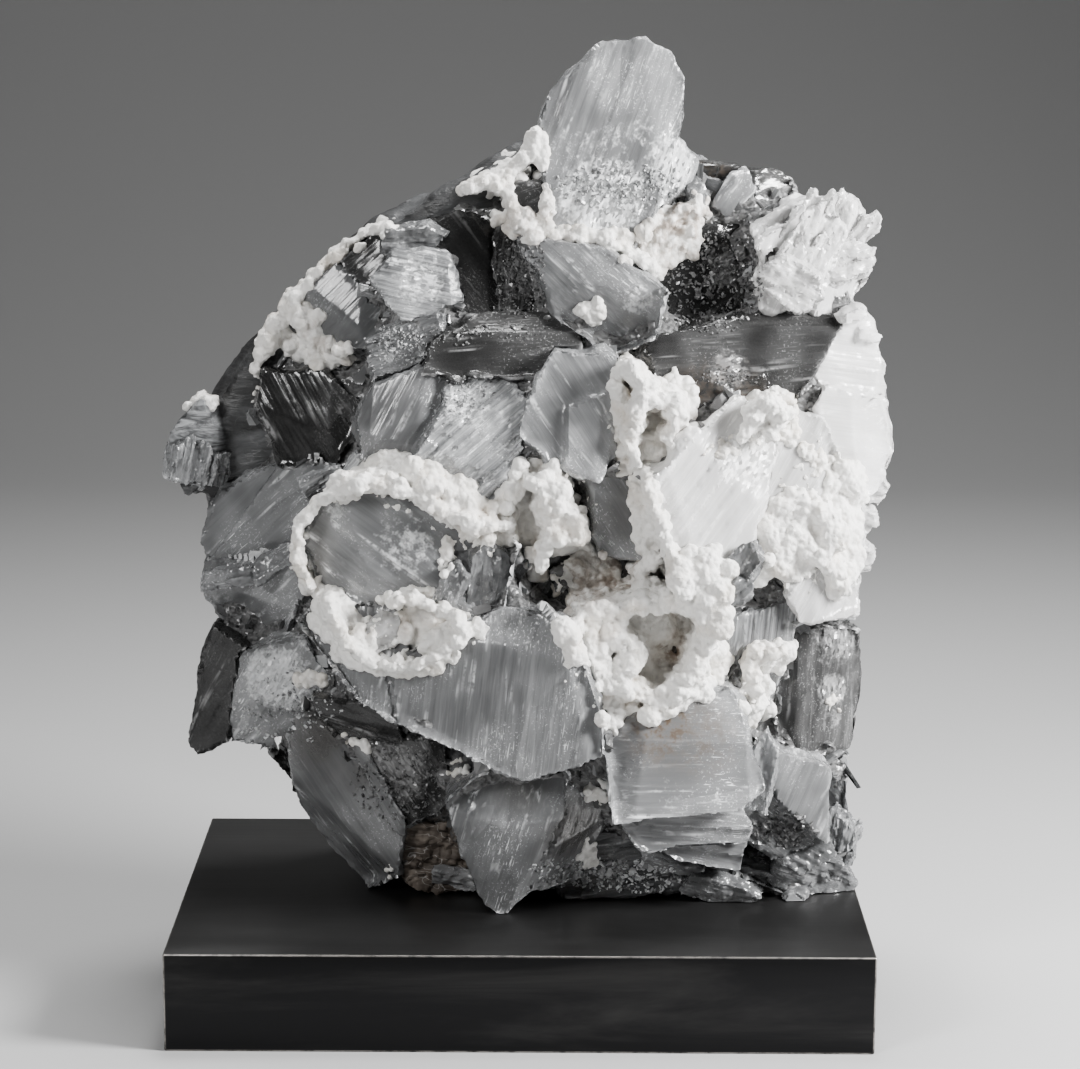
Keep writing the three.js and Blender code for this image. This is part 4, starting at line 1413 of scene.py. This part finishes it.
def surface_samples(piece: bpy.types.Object, count: int, dice: np.random.Generator) -> Shape:
    """Picks places spread evenly over a piece's surface.

    Args:
        piece: The piece.
        count: How many places.
        dice: The source of chance.

    Returns:
        The places and the normals there, in metres.
    """
    piece.data.calc_loop_triangles()
    triangles = piece.data.loop_triangles
    numbers = np.empty(len(triangles) * 3, np.int32)
    triangles.foreach_get("vertices", numbers)
    corners = corner_places(piece)[numbers.reshape(-1, 3)] * MM
    cross = np.cross(corners[:, 1] - corners[:, 0], corners[:, 2] - corners[:, 0])
    area = np.linalg.norm(cross, axis=1)
    chosen = dice.choice(len(area), count, p=area / area.sum())
    first, second = dice.random((2, count, 1))
    over = first + second > 1.0
    first, second = np.where(over, 1.0 - first, first), np.where(over, 1.0 - second, second)
    start, one_end, other_end = corners[chosen].transpose(1, 0, 2)
    places = start + (one_end - start) * first + (other_end - start) * second
    return places, cross[chosen] / area[chosen, None]


@dataclass(frozen=True)
class Crust:
    """One white crust: a body of nodules with smaller ones strewn around it.

    Attributes:
        name: The piece's name.
        node: The frame's node that it stands for, if any.
        fields: Where nodules grow beside the node.
        knobs: How many nodules there are on a square centimetre of the node.
        sizes: The smallest and the largest radius of a nodule.
        thinned: How much its body is thinned before its nodules grow.
        patches: The brown patches on it: real staining in places, painted shade in recesses and on shaded
            lumps in others.
        voxel: The size of its mesh's faces.
    """

    name: str
    node: str = ""
    fields: tuple[Field, ...] = ()
    knobs: float = 5.0
    sizes: tuple[float, float] = (0.8, 3.6)
    thinned: float = 3.6
    patches: tuple[Patch, ...] = ()
    voxel: float = 0.9

    def knob_moves(self, body: bpy.types.Object, dice: np.random.Generator) -> list[Matrix]:
        """Gives the matrices of the nodules on the node's own surface."""
        low, high = body.bound_box[0], body.bound_box[6]
        spans = sorted((high[axis] - low[axis]) / MM / 10.0 for axis in range(3))
        count = int(self.knobs * 2.6 * spans[1] * spans[2])
        places, normals = surface_samples(body, count, dice)
        sizes = between(*self.sizes, dice.random(count) ** 1.6)
        return [Matrix.Translation(Vector(place) - Vector(normal) * size * MM * 0.25)
                @ Matrix.Scale(size * MM, 4) for place, normal, size in zip(places, normals, sizes)]

    def build(self, material: bpy.types.Material, skin: Skin, seed: int) -> None:
        """Models the crust and dresses it.

        Args:
            material: Its finish.
            skin: The crystals that it grows over.
            seed: The number that its chance starts from.
        """
        dice, other_dice = np.random.default_rng(seed), random.Random(seed)
        corners, faces = ball()
        moves = []
        for field_of in self.fields:
            for place, normal, size in skin.scatter(field_of, other_dice):
                flat = Vector((1.0, 1.0, other_dice.uniform(0.7, 1.0))) * size
                turn = normal.to_track_quat("Z", "Y").to_matrix().to_4x4()
                moves.append(Matrix.Translation(place) @ turn @ Matrix.Diagonal(flat).to_4x4())
        if self.node:
            body = copy_of_node(self.node, self.name + "_body")
            modify(body, "DISPLACE", mid_level=0.0, strength=-self.thinned * MM)
            remesh(body, 1.4)
            raise_reliefs(body, (swells(17, 17, 17, 8),
                                 swells(8, 8, 8, 5)), UNTURNED, (seed, 0.0, 0.0))
            moves += self.knob_moves(body, dice)
        piece = joined_copies(self.name, corners, faces, moves)
        if self.node:
            join_to(piece, body)
        remesh(piece, self.voxel)
        modify(piece, "SMOOTH", iterations=2)
        raise_reliefs(piece, (knobs(5.5, 5.5, 5.5, -2.6), swells(3, 3, 3, 1.4)),
                      UNTURNED, (seed, 2.0 * seed, 3.0 * seed))
        keep_above_plinth(piece)
        store_patches(piece, self.patches)
        finish_piece(piece, material, "gypsum_crust", *([self.node] if self.node else []))


CRUSTS = (
    # The brown patch on this crust is painted shade on its shaded lumps.
    Crust("crown_growth", "crown_crust", fields((-9, 438, 21, 10, 90, 3, 7, 36),
          (-12, 448, 11, 11, 60, 3, 6), (2, 440, 8, 14, 40, 2.5, 5.5), (1, 408, 18, 6, 40, 2.5, 6, -12),
          (36, 403, 26, 4, 44, 2, 4.5, -8), (-8, 442, 20, 8, 70, 1.2, 6, 40),
          (-14, 430, 16, 7, 40, 1.5, 6, 20), (0, 408, 18, 7, 50, 1.5, 6, -12),
          (34, 402, 26, 4, 60, 1, 4, -8), (12, 420, 4, 8, 16, 1.5, 4)),
          patches=(earth(4, -10, 404, 26, 0.45),)),
    # Its brown patches are painted shade on its shaded lumps.
    Crust("crown_right_growth", "crown_right_crust", fields((72, 402, 15, 14, 70, 3, 6.5),
          (65, 389, 3, 6, 10, 3, 6), (75, 404, 15, 14, 60, 1.2, 6), (84, 416, 8, 10, 24, 1.5, 5),
          (56, 394, 10, 5, 20, 1.5, 4.5)), patches=(earth(80, -4, 404, 30, 0.7),
          earth(56, -20, 396, 14, 0.5))),
    Crust("rim_growth", "rim_crust", fields((-111, 355, 11, 14, 50, 3, 6.5, -20),
          (-99, 344, 14, 7, 36, 3, 6.5), (-68, 407, 6, 5, 16, 1.5, 4), (-83, 400, 9, 5, 20, 1.2, 4, 30),
          (-108, 382, 8, 6, 24, 1.2, 4.5, 40), (-118, 362, 9, 12, 50, 1.5, 5.5, -20),
          (-108, 346, 12, 7, 40, 1.5, 6, -10), (-92, 344, 8, 6, 16, 1.2, 4),
          (-133, 333, 15, 3, 36, 1, 3, 78)), patches=(earth(-108, -10, 346, 14, 0.5),)),
    Crust("knob_growth", "knob_crust", fields((-163, 317, 10, 6, 16, 2.5, 5.5, 20),
          (-163, 317, 10, 6, 36, 1.2, 5, 20)), patches=(earth(-155, -10, 312, 14, 0.6),)),
    # Its brown patches are partly a real stain and partly painted shade in its crevices.
    Crust("popcorn_growth", "popcorn_crust", fields((54, 324, 10, 15, 60, 3.5, 7),
          (54, 302, 9, 13, 50, 3.5, 6.5), (76, 320, 10, 12, 50, 3.5, 6.5),
          (56, 328, 10, 16, 60, 1, 4.5), (56, 304, 9, 14, 50, 1, 4.5), (76, 320, 11, 13, 60, 1.2, 4.5),
          (52, 288, 5, 6, 12, 1, 3), (64, 316, 24, 24, 120, 0.6, 1.8), (64, 306, 14, 16, 60, 2, 5),
          (65, 300, 6, 8, 16, 6.5, 10)), patches=(earth(72, -50, 312, 12, 0.6),
          earth(84, -44, 300, 18, 0.5))),
    Crust("arc_growth", "arc_crust", fields((-72, 284, 14, 7, 40, 4, 8, 15),
          (-52, 280, 14, 8, 45, 4, 8.5, -10), (-32, 268, 14, 9, 45, 4, 9, -30),
          (-10, 258, 16, 10, 50, 4, 9, -14), (-86, 276, 12, 5, 30, 1.2, 4, 42),
          (-64, 282, 16, 7, 60, 1.5, 6, -10), (-42, 271, 12, 9, 50, 1.5, 6.5, -35),
          (-20, 258, 20, 9, 90, 1.5, 7, -16), (-38, 240, 4, 11, 18, 1.5, 4),
          (-4, 264, 9, 14, 60, 1.5, 6), (-60, 276, 26, 12, 90, 0.7, 2.2, -10),
          (-24, 256, 26, 14, 90, 0.7, 2.2, -16))),
    Crust("block_growth", "block_crust", fields((8, 276, 15, 15, 80, 4, 9), (16, 256, 16, 13, 70, 4, 9),
          (8, 276, 12, 14, 70, 1.5, 7.5), (18, 256, 14, 13, 80, 1.5, 7.5), (7, 236, 5, 10, 26, 2, 6),
          (30, 240, 12, 12, 40, 0.8, 3), (28, 226, 16, 8, 50, 0.8, 3.4),
          (16, 262, 22, 26, 120, 0.7, 2.4), (3, 258, 6, 9, 20, 7, 11))),
    Crust("loop_growth", "loop_crust", fields((-96, 208, 12, 9, 50, 3.5, 7.5, -50),
          (-88, 194, 12, 8, 40, 3.5, 7.5, -60), (-48, 204, 13, 12, 60, 3.5, 7),
          (-62, 183, 20, 4, 40, 3, 5), (-103, 268, 12, 3, 30, 1, 3.6, 48),
          (-113, 246, 14, 3, 40, 1, 4, 76), (-106, 225, 6, 5, 22, 1.5, 4.5),
          (-94, 212, 14, 8, 60, 2, 6.5, -50), (-82, 194, 13, 6, 50, 2, 6, -72),
          (-62, 182, 20, 4, 60, 1.2, 4), (-40, 188, 10, 4, 26, 1.2, 4.5, 24),
          (-58, 220, 14, 4, 44, 1.2, 4.2, 8), (-50, 204, 12, 11, 70, 1.5, 6),
          (-34, 204, 10, 9, 40, 1.5, 5.5), (-90, 206, 22, 12, 120, 0.7, 2.2, -55),
          (-52, 200, 30, 20, 120, 0.6, 2), (-22, 203, 5, 5, 14, 1.5, 4.5)), thinned=4.4,
          patches=(earth(-58, -66, 208, 8, 0.5),)),
    Crust("spot_growth", "", fields((-108, 176, 10, 4, 40, 1.5, 4.5, -8))),
    Crust("strip_growth", "", fields((-84, 142, 9, 3, 26, 1, 3.2, -24), (-32, 128, 6, 6, 16, 1, 3))),
    Crust("heart_growth", "", fields((30, 366, 4, 3, 12, 2.5, 4.5), (36, 365, 4, 6, 16, 2, 4.5))),
    # Its brown patches are partly a real stain and partly painted shade in its cavity and crevices.
    Crust("mass_growth", "mass_crust", fields((42, 204, 22, 20, 120, 4, 9.5),
          (65, 252, 7, 33, 130, 2, 5.5, 14), (37, 233, 14, 11, 80, 2, 6), (88, 230, 18, 16, 90, 4, 9),
          (66, 172, 24, 15, 110, 4, 9.5, 12), (95, 198, 10, 22, 60, 4, 8.5),
          (40, 205, 18, 16, 110, 1.5, 7.5), (90, 200, 11, 24, 110, 1.5, 6.5),
          (62, 172, 16, 12, 80, 2, 7.5, 20), (84, 176, 18, 12, 90, 2, 7.5, 24),
          (46, 156, 6, 9, 20, 2, 6), (52, 224, 24, 6, 60, 1, 3.6, 6),
          (84, 232, 16, 16, 110, 1.5, 6, -20), (66, 262, 7, 34, 170, 1.4, 5, 14),
          (72, 202, 12, 12, 60, 1, 3.2), (40, 188, 14, 12, 60, 1.5, 6),
          (58, 190, 40, 34, 200, 0.7, 2.4), (57, 190, 6, 12, 26, 8, 13), (63, 205, 9, 5, 20, 8, 12),
          (62, 178, 6, 4, 12, 8, 12)), patches=(earth(77, -32, 190, 18, 1),
          earth(50, -40, 228, 22, 0.8), earth(28, -50, 226, 26, 0.7), earth(50, -50, 186, 12, 0.5),
          earth(56, -50, 160, 12, 0.6))),
    Crust("bright_cap_growth", "bright_cap_crust", fields((122, 318, 12, 9, 26, 3, 7, 40),
          (124, 316, 10, 10, 50, 1.5, 5.5, 40), (132, 306, 7, 8, 26, 1.5, 4.5),
          (106, 298, 16, 5, 36, 0.8, 3, 14))),
    Crust("right_growth", "right_crust", fields((134, 252, 13, 21, 90, 4, 8.5),
          (162, 255, 9, 34, 110, 4, 8, -4), (136, 260, 12, 12, 70, 1.5, 6.5),
          (138, 240, 9, 12, 50, 1.5, 6), (160, 268, 8, 24, 90, 1.5, 6, -4),
          (165, 238, 6, 16, 60, 1.5, 5.5, -10), (148, 292, 12, 10, 30, 1, 3.5, -30),
          (146, 256, 26, 34, 160, 0.7, 2.4)), patches=(earth(150, -10, 286, 18, 0.35),
          earth(152, -20, 230, 12, 0.5))),
    Crust("lower_right_growth", "lower_right_crust", fields((128, 188, 11, 8, 26, 3, 7),
          (119, 168, 8, 14, 26, 3, 6.5, 10), (125, 189, 12, 7, 46, 2, 6.5),
          (119, 166, 8, 14, 50, 1.5, 6, 10), (160, 164, 4, 5, 12, 1, 2.6))),
    Crust("low_bits_growth", "", fields((39, 117, 6, 7, 26, 1.2, 4), (34, 84, 5, 9, 30, 1.5, 4.2),
          (-68, 74, 3, 5, 8, 1.2, 3))),
)


@dataclass(frozen=True)
class Druse:
    """A sprinkling of small cleavage slivers of one finish.

    Attributes:
        name: The piece's name.
        slot: The material slot of its finish.
        tone: Its brightness.
        fields: Where the slivers lie.
    """

    name: str
    slot: str
    tone: float
    fields: tuple[Field, ...]

    def build(self, material: bpy.types.Material, skin: Skin, seed: int) -> None:
        """Models the slivers and dresses them.

        Args:
            material: Their finish.
            skin: The crystals that they sit on.
            seed: The number that their chance starts from.
        """
        dice = random.Random(seed)
        corners, faces = sliver()
        moves = []
        for field_of in self.fields:
            for place, normal, size in skin.scatter(field_of, dice):
                move = tumbled(place, normal, dice.uniform(0.0, math.tau), (0.6, 0.6), dice)
                stretch = Vector((1.0, dice.uniform(0.6, 1.4), dice.uniform(0.6, 2.0))) * size
                moves.append(move @ Matrix.Diagonal(stretch).to_4x4())
        piece = joined_copies(self.name, corners, faces, moves)
        keep_above_plinth(piece)
        shades = np.random.default_rng(seed).uniform(0.5, 1.5, len(moves)) * self.tone
        store_crystal(piece, corner_places(piece), np.repeat(shades, len(corners)), 0.3,
                      (frost(0, 0, 250, 2000, 1.0),))
        finish_piece(piece, material, self.slot)


DRUSES = (
    Druse("crown_slivers", "clear_selenite", 0.8, fields((49, 427, 34, 12, 300, 1, 4.5, -4))),
    Druse("dark_slivers", "smoky_selenite", 0.8, fields((94, 380, 26, 26, 700, 0.8, 4.5),
          (-1, 385, 12, 24, 400, 0.8, 4), (106, 333, 17, 4, 120, 0.6, 2.5),
          (-64, 121, 24, 20, 320, 0.8, 4), (135, 97, 18, 9, 160, 1, 7),
          (-30, 353, 44, 5, 160, 0.8, 3.5, 4))),
    Druse("grey_slivers", "frosted_selenite", 0.75, fields((-60, 347, 16, 12, 220, 0.8, 3),
          (46, 72, 42, 9, 420, 1, 6, -4), (-30, 320, 20, 10, 160, 0.8, 3, 30),
          (-118, 160, 30, 20, 200, 0.8, 4, 30))),
)


@dataclass
class Groundmass:
    """The granular gypsum that the crystals have grown out of, seen in the gaps between them.

    Attributes:
        span: Half the width of the widest gap that it fills.
        sink: How far it stays below the crystals' faces.
        voxel: The size of its mesh's faces while its shape is found.
        last_voxel: Their size in the end.
        tone: Its brightness.
    """

    span: float = 10.0
    sink: float = 4.5
    voxel: float = 2.4
    last_voxel: float = 2.6
    tone: float = 1.3

    def push(self, piece: bpy.types.Object, distance: float) -> None:
        """Moves a piece's surface out by a distance, or in where it is below 0, and evens its mesh."""
        modify(piece, "DISPLACE", mid_level=0.0, strength=distance * MM)
        remesh(piece, self.voxel)

    def build(self, material: bpy.types.Material, grown: list[bpy.types.Object]) -> bpy.types.Object:
        """Models the groundmass and dresses it.

        Args:
            material: Its finish.
            grown: The finished pieces that stand in it.

        Returns:
            The groundmass.
        """
        piece, *others = [linked(bpy.data.objects.new("groundmass", other.data.copy())) for other in grown]
        join_to(piece, *others)
        piece.name = "groundmass"
        remesh(piece, self.voxel)
        self.push(piece, self.span)
        self.push(piece, -self.span - self.sink)
        remesh(piece, self.last_voxel)
        modify(piece, "SMOOTH", iterations=6)
        raise_reliefs(piece, (swells(16, 16, 16, 8), knobs(9, 7, 7, 5),
                              swells(4, 4, 4, 2)), UNTURNED, (1.0, 2.0, 3.0))
        # The brown patches are partly a real stain and partly painted shade in the dark gaps.
        store_crystal(piece, corner_places(piece), self.tone, patches=(
            frost(0, 0, 250, 900, 0.55), earth(74, -20, 200, 30, 1.0), earth(-4, -20, 236, 26, 1.0),
            earth(-52, -20, 80, 40, 0.8), earth(56, -20, 232, 30, 0.8)))
        finish_piece(piece, material, "smoky_selenite")
        return piece


@dataclass(frozen=True)
class Shards:
    """Broken cleavage blades that stand in the groundmass, all round the cluster.

    Attributes:
        name: The piece's name.
        slot: The material slot of their finish.
        tone: Their brightness.
        tries: How many places are tried for one.
        sizes: The smallest and the largest length.
        gap: How much open room one needs before it.
    """

    name: str
    slot: str
    tone: float
    tries: int
    sizes: tuple[float, float]
    gap: float = 26.0

    def build(self, material: bpy.types.Material, ground: bpy.types.Object, skin: Skin,
              seed: int) -> bpy.types.Object:
        """Models the shards and dresses them.

        Args:
            material: Their finish.
            ground: The groundmass.
            skin: The crystals around them.
            seed: The number that their chance starts from.

        Returns:
            The shards.
        """
        dice, other_dice = np.random.default_rng(seed), random.Random(seed)
        corners, faces = sliver()
        moves, sizes = [], []
        for place, normal in zip(*surface_samples(ground, self.tries, dice)):
            place, normal = Vector(place), Vector(normal)
            ray = (place + normal * 0.5 * MM, normal, self.gap * MM)
            if place.z < 0.06 or any(tree.ray_cast(*ray)[0] is not None for tree in skin.trees):
                continue
            size = between(*self.sizes, other_dice.random() ** 2) * MM
            move = tumbled(place, normal, other_dice.uniform(0.0, math.tau), (0.5, 0.5), other_dice)
            stretch = Vector((1.0, other_dice.uniform(0.4, 1.2), other_dice.uniform(0.4, 1.3))) * size
            moves.append(move @ Matrix.Diagonal(stretch).to_4x4())
            sizes.append(size)
        piece = joined_copies(self.name, corners, faces, moves)
        reach = np.repeat(sizes, len(corners))[:, None]
        places = corner_places(piece) * MM + dice.normal(0.0, 0.07, (len(reach), 3)) * reach
        move_corners(piece, places)
        keep_above_plinth(piece)
        grain = np.tile(corners, (len(moves), 1)) * reach / MM + places * 300.0
        shades = dice.uniform(0.5, 1.4, len(moves)) * self.tone
        store_crystal(piece, grain, np.repeat(shades, len(corners)), 0.4)
        finish_piece(piece, material, self.slot)
        return piece


SHARDS = (
    Shards("clear_shards", "clear_selenite", 0.75, 3000, (3.0, 13.0)),
    Shards("dark_shards", "smoky_selenite", 1.2, 2600, (3.0, 14.0)),
    Shards("pale_shards", "frosted_selenite", 0.7, 1600, (2.0, 9.0)),
)


@dataclass(frozen=True)
class FlankBlades:
    """The crystals that cover the cluster's two flanks, where its dark rock would show.

    Attributes:
        tries: How many places are tried for one.
        sizes: The smallest and the largest length.
        inner: How far a flank starts from the middle of the cluster.
        left_top: How high the blades go on the left flank.
        voxel: The size of the mesh's faces.
    """

    tries: int = 900
    sizes: tuple[float, float] = (16.0, 52.0)
    inner: float = 70.0
    left_top: float = 190.0
    voxel: float = 1.6

    def moves(self, bed: bpy.types.Object, dice: random.Random) -> list[Matrix]:
        """Picks the blades' places on the flanks, each turned and sized by chance."""
        chosen = []
        for place, normal in zip(*surface_samples(bed, self.tries, np.random.default_rng(5))):
            place, normal = Vector(place), Vector(normal)
            if abs(place.x) < self.inner * MM or place.y < 12.0 * MM or place.z < (PLINTH_TOP + 12.0) * MM:
                continue
            if abs(normal.x) < 0.5 or (place.x < 0.0 and place.z > self.left_top * MM):
                continue
            size = between(*self.sizes, dice.random() ** 1.5) * MM
            move = tumbled(place, normal, dice.gauss(0.4, 0.7), (0.35, 0.4), dice)
            stretch = Vector((1.0, dice.uniform(0.7, 1.3), dice.uniform(0.6, 1.4))) * size
            chosen.append(move @ Matrix.Diagonal(stretch).to_4x4())
        return chosen

    def build(self, habit: Habit, material: bpy.types.Material, bed: bpy.types.Object,
              part: int) -> bpy.types.Object:
        """Models one share of the blades and dresses them.

        Args:
            habit: How they break.
            material: Their finish.
            bed: The rock that they grow on.
            part: Which share it is, of three.

        Returns:
            The blades.
        """
        moves = self.moves(bed, random.Random(17))[part::3]
        piece = joined_copies("flank_blades_%d" % part, *sliver(), moves)
        remesh(piece, self.voxel)
        turn = Matrix.Rotation(-math.radians(50.0 + 25.0 * part), 3, "Y")
        raise_reliefs(piece, (swells(30, 12, 16, 4), steps(70, 6, 6, 1.4),
                              swells(12, 4, 5, 1.8)), turn, (5.0 * part, 3.0, 1.0))
        keep_above_plinth(piece)
        store_crystal(piece, corner_places(piece) @ np.array(turn), 1.0)
        finish_piece(piece, material, habit.finish.slot)
        return piece


@dataclass
class HostRock:
    """The domed rind of dark rock behind the crystals."""

    voxel: float = 3.2

    def build(self) -> bpy.types.Object:
        """Models the rock and dresses it."""
        piece = copy_of_node("host_rock", "host_rind")
        remesh(piece, self.voxel)
        turn = Matrix.Rotation(math.radians(-58.0), 3, "Y")
        raise_reliefs(piece, (swells(70, 40, 40, 12), swells(30, 12, 12, 5),
                              knobs(60, 26, 26, 5), swells(8, 4, 4, 1.8)),
                      turn, (0.0, 0.0, 0.0))
        # These patches on the knob carry its painted silvery sheen, not frosting.
        store_patches(piece, (frost(-168, -20, 290, 34, 1.0), frost(-158, -30, 285, 26, 0.8)))
        finish = RockFinish("host_rock", grey(0.035, 0.0), grey(0.17, -0.02), 0.28, 0.06)
        finish_piece(piece, finish.build(), finish.slot, "host_rock")
        return piece


@dataclass
class EarthyRock:
    """The lump of brown, crumbly matrix low in the front."""

    voxel: float = 1.0

    def build(self) -> bpy.types.Object:
        """Models the lump and dresses it."""
        piece = copy_of_node("earthy_rock", "earthy_lump")
        remesh(piece, self.voxel)
        raise_reliefs(piece, (knobs(9, 9, 7, -6), swells(6, 6, 4, 4),
                              swells(2, 2, 2, 1.4)), UNTURNED, (3.0, 5.0, 7.0))
        store_patches(piece, ())
        finish = RockFinish("earthy_matrix", (0.05, 0.038, 0.03, 1.0), (0.3, 0.26, 0.22, 1.0), 0.5, 0.5)
        finish_piece(piece, finish.build(), finish.slot, "earthy_rock")
        return piece


@dataclass
class Plinth:
    """The black steel block that the cluster stands on.

    Attributes:
        edge_radius: The radius of its broken edges.
    """

    edge_radius: float = 0.9

    def build(self) -> None:
        """Models the block and dresses it."""
        low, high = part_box("display_plinth")
        middle = (low + high) / 2
        size = high - low
        bpy.ops.object.select_all(action="DESELECT")
        bpy.ops.mesh.primitive_cube_add(size=1.0, location=middle, scale=size)
        piece = bpy.context.active_object
        piece.name = "plinth_block"
        bpy.ops.object.transform_apply(location=True, rotation=True, scale=True)
        modify(piece, "BEVEL", width=self.edge_radius * MM, segments=3)
        finish_piece(piece, SteelFinish().build(low, high), "blackened_steel", "display_plinth")


@dataclass
class Studio:
    """The floor, the backdrop, the lights and the camera.

    Attributes:
        camera_place: Where the camera stands.
        camera_pitch: How far it looks down.
        camera_roll: How far it is turned about its own line of sight.
        lens: Its focal length.
    """

    camera_place: tuple[float, float, float] = (9.0, -1534.4, 559.3)
    camera_pitch: float = 11.70
    camera_roll: float = 0.29
    lens: float = 100.0
    lights: dict[str, tuple] = field(default_factory=lambda: {
        "key": ((950.0, -330.0, 700.0), 380.0, 30.0),
        "crown": ((0.0, 260.0, 1300.0), 500.0, 12.0),
        "fill": ((-1000.0, -1100.0, 1000.0), 500.0, 12.0),
    })

    def build_backdrop(self) -> None:
        """Builds a pale floor that curves up into a wall."""
        bpy.ops.object.select_all(action="DESELECT")
        bpy.ops.mesh.primitive_plane_add(size=8.0, location=(0.0, -1.0, 0.0))
        floor = bpy.context.active_object
        floor.name = "studio_floor"
        bpy.ops.object.transform_apply(location=True, rotation=True, scale=True)
        bpy.ops.object.mode_set(mode="EDIT")
        bpy.ops.mesh.select_all(action="DESELECT")
        bpy.ops.object.mode_set(mode="OBJECT")
        for edge in floor.data.edges:
            edge.select = all(floor.data.vertices[number].co.y > 2.9 for number in edge.vertices)
        bpy.ops.object.mode_set(mode="EDIT")
        bpy.ops.mesh.extrude_region_move(TRANSFORM_OT_translate={"value": (0.0, 0.0, 4.0)})
        bpy.ops.object.mode_set(mode="OBJECT")
        modify(floor, "BEVEL", width=1.6, segments=24)
        bpy.ops.object.shade_smooth()
        material = bpy.data.materials.new("studio_paper")
        material.use_nodes = True
        shader = material.node_tree.nodes["Principled BSDF"]
        shader.inputs["Base Color"].default_value = grey(0.5, 0.0)
        shader.inputs["Roughness"].default_value = 0.9
        floor.data.materials.append(material)

    def build_lights(self) -> None:
        """Hangs the soft lights and sets the dim surroundings."""
        target = Vector((0.0, 0.0, 260.0)) * MM
        for name, (place, size, power) in self.lights.items():
            lamp = bpy.data.lights.new(name, "AREA")
            lamp.shape = "DISK"
            lamp.size = size * MM
            lamp.energy = power
            holder = linked(bpy.data.objects.new(name, lamp))
            holder.location = Vector(place) * MM
            holder.rotation_euler = (target - holder.location).to_track_quat("-Z", "Y").to_euler()
        world = bpy.data.worlds.new("studio_air")
        world.use_nodes = True
        world.node_tree.nodes["Background"].inputs["Color"].default_value = grey(0.6, 0.0)
        world.node_tree.nodes["Background"].inputs["Strength"].default_value = 0.06
        bpy.context.scene.world = world

    def build_camera(self) -> None:
        """Sets up the camera."""
        data = bpy.data.cameras.new("camera")
        data.lens = self.lens
        data.sensor_width = 36.0
        camera = linked(bpy.data.objects.new("camera", data))
        pitch = Matrix.Rotation(math.radians(90.0 - self.camera_pitch), 4, "X")
        roll = Matrix.Rotation(math.radians(self.camera_roll), 4, "Z")
        camera.matrix_world = Matrix.Translation(Vector(self.camera_place) * MM) @ pitch @ roll
        bpy.context.scene.camera = camera

    def build(self) -> None:
        """Builds the whole studio."""
        bpy.context.scene.view_settings.look = "AgX - Medium High Contrast"
        self.build_backdrop()
        self.build_lights()
        self.build_camera()


def main() -> None:
    """Builds the object and its studio."""
    logging.basicConfig(level=logging.INFO, format="%(name)s: %(message)s")
    Studio().build()
    Plinth().build()
    rocks = [HostRock().build(), EarthyRock().build()]
    group = CrystalGroup()
    pieces = group.build()
    pieces += [FlankBlades().build(habit, group.materials[habit.finish.slot], rocks[0], part)
               for part, habit in enumerate((CLEAR, SMOKY, FROSTED))]
    ground = Groundmass().build(group.materials["smoky_selenite"], pieces[:-1] + rocks)
    skin = Skin(pieces + rocks)
    pieces += [shards.build(group.materials[shards.slot], ground, skin, SHARD_SEED + number)
               for number, shards in enumerate(SHARDS)]
    pieces.append(ground)
    skin = Skin(pieces)
    pieces += [small.build(group.materials[small.habit.finish.slot], skin, Vector((19.0 * number, 7.0, 3.0)))
               for number, small in enumerate(SMALL_CRYSTALS)]
    skin = Skin(pieces)
    for number, druse in enumerate(DRUSES):
        druse.build(group.materials[druse.slot], skin, DRUSE_SEED + number)
    crust_material = CrustFinish().build()
    for number, crust in enumerate(CRUSTS):
        crust.build(crust_material, skin, CRUST_SEED + number)


if __name__ == "__main__":
    main()
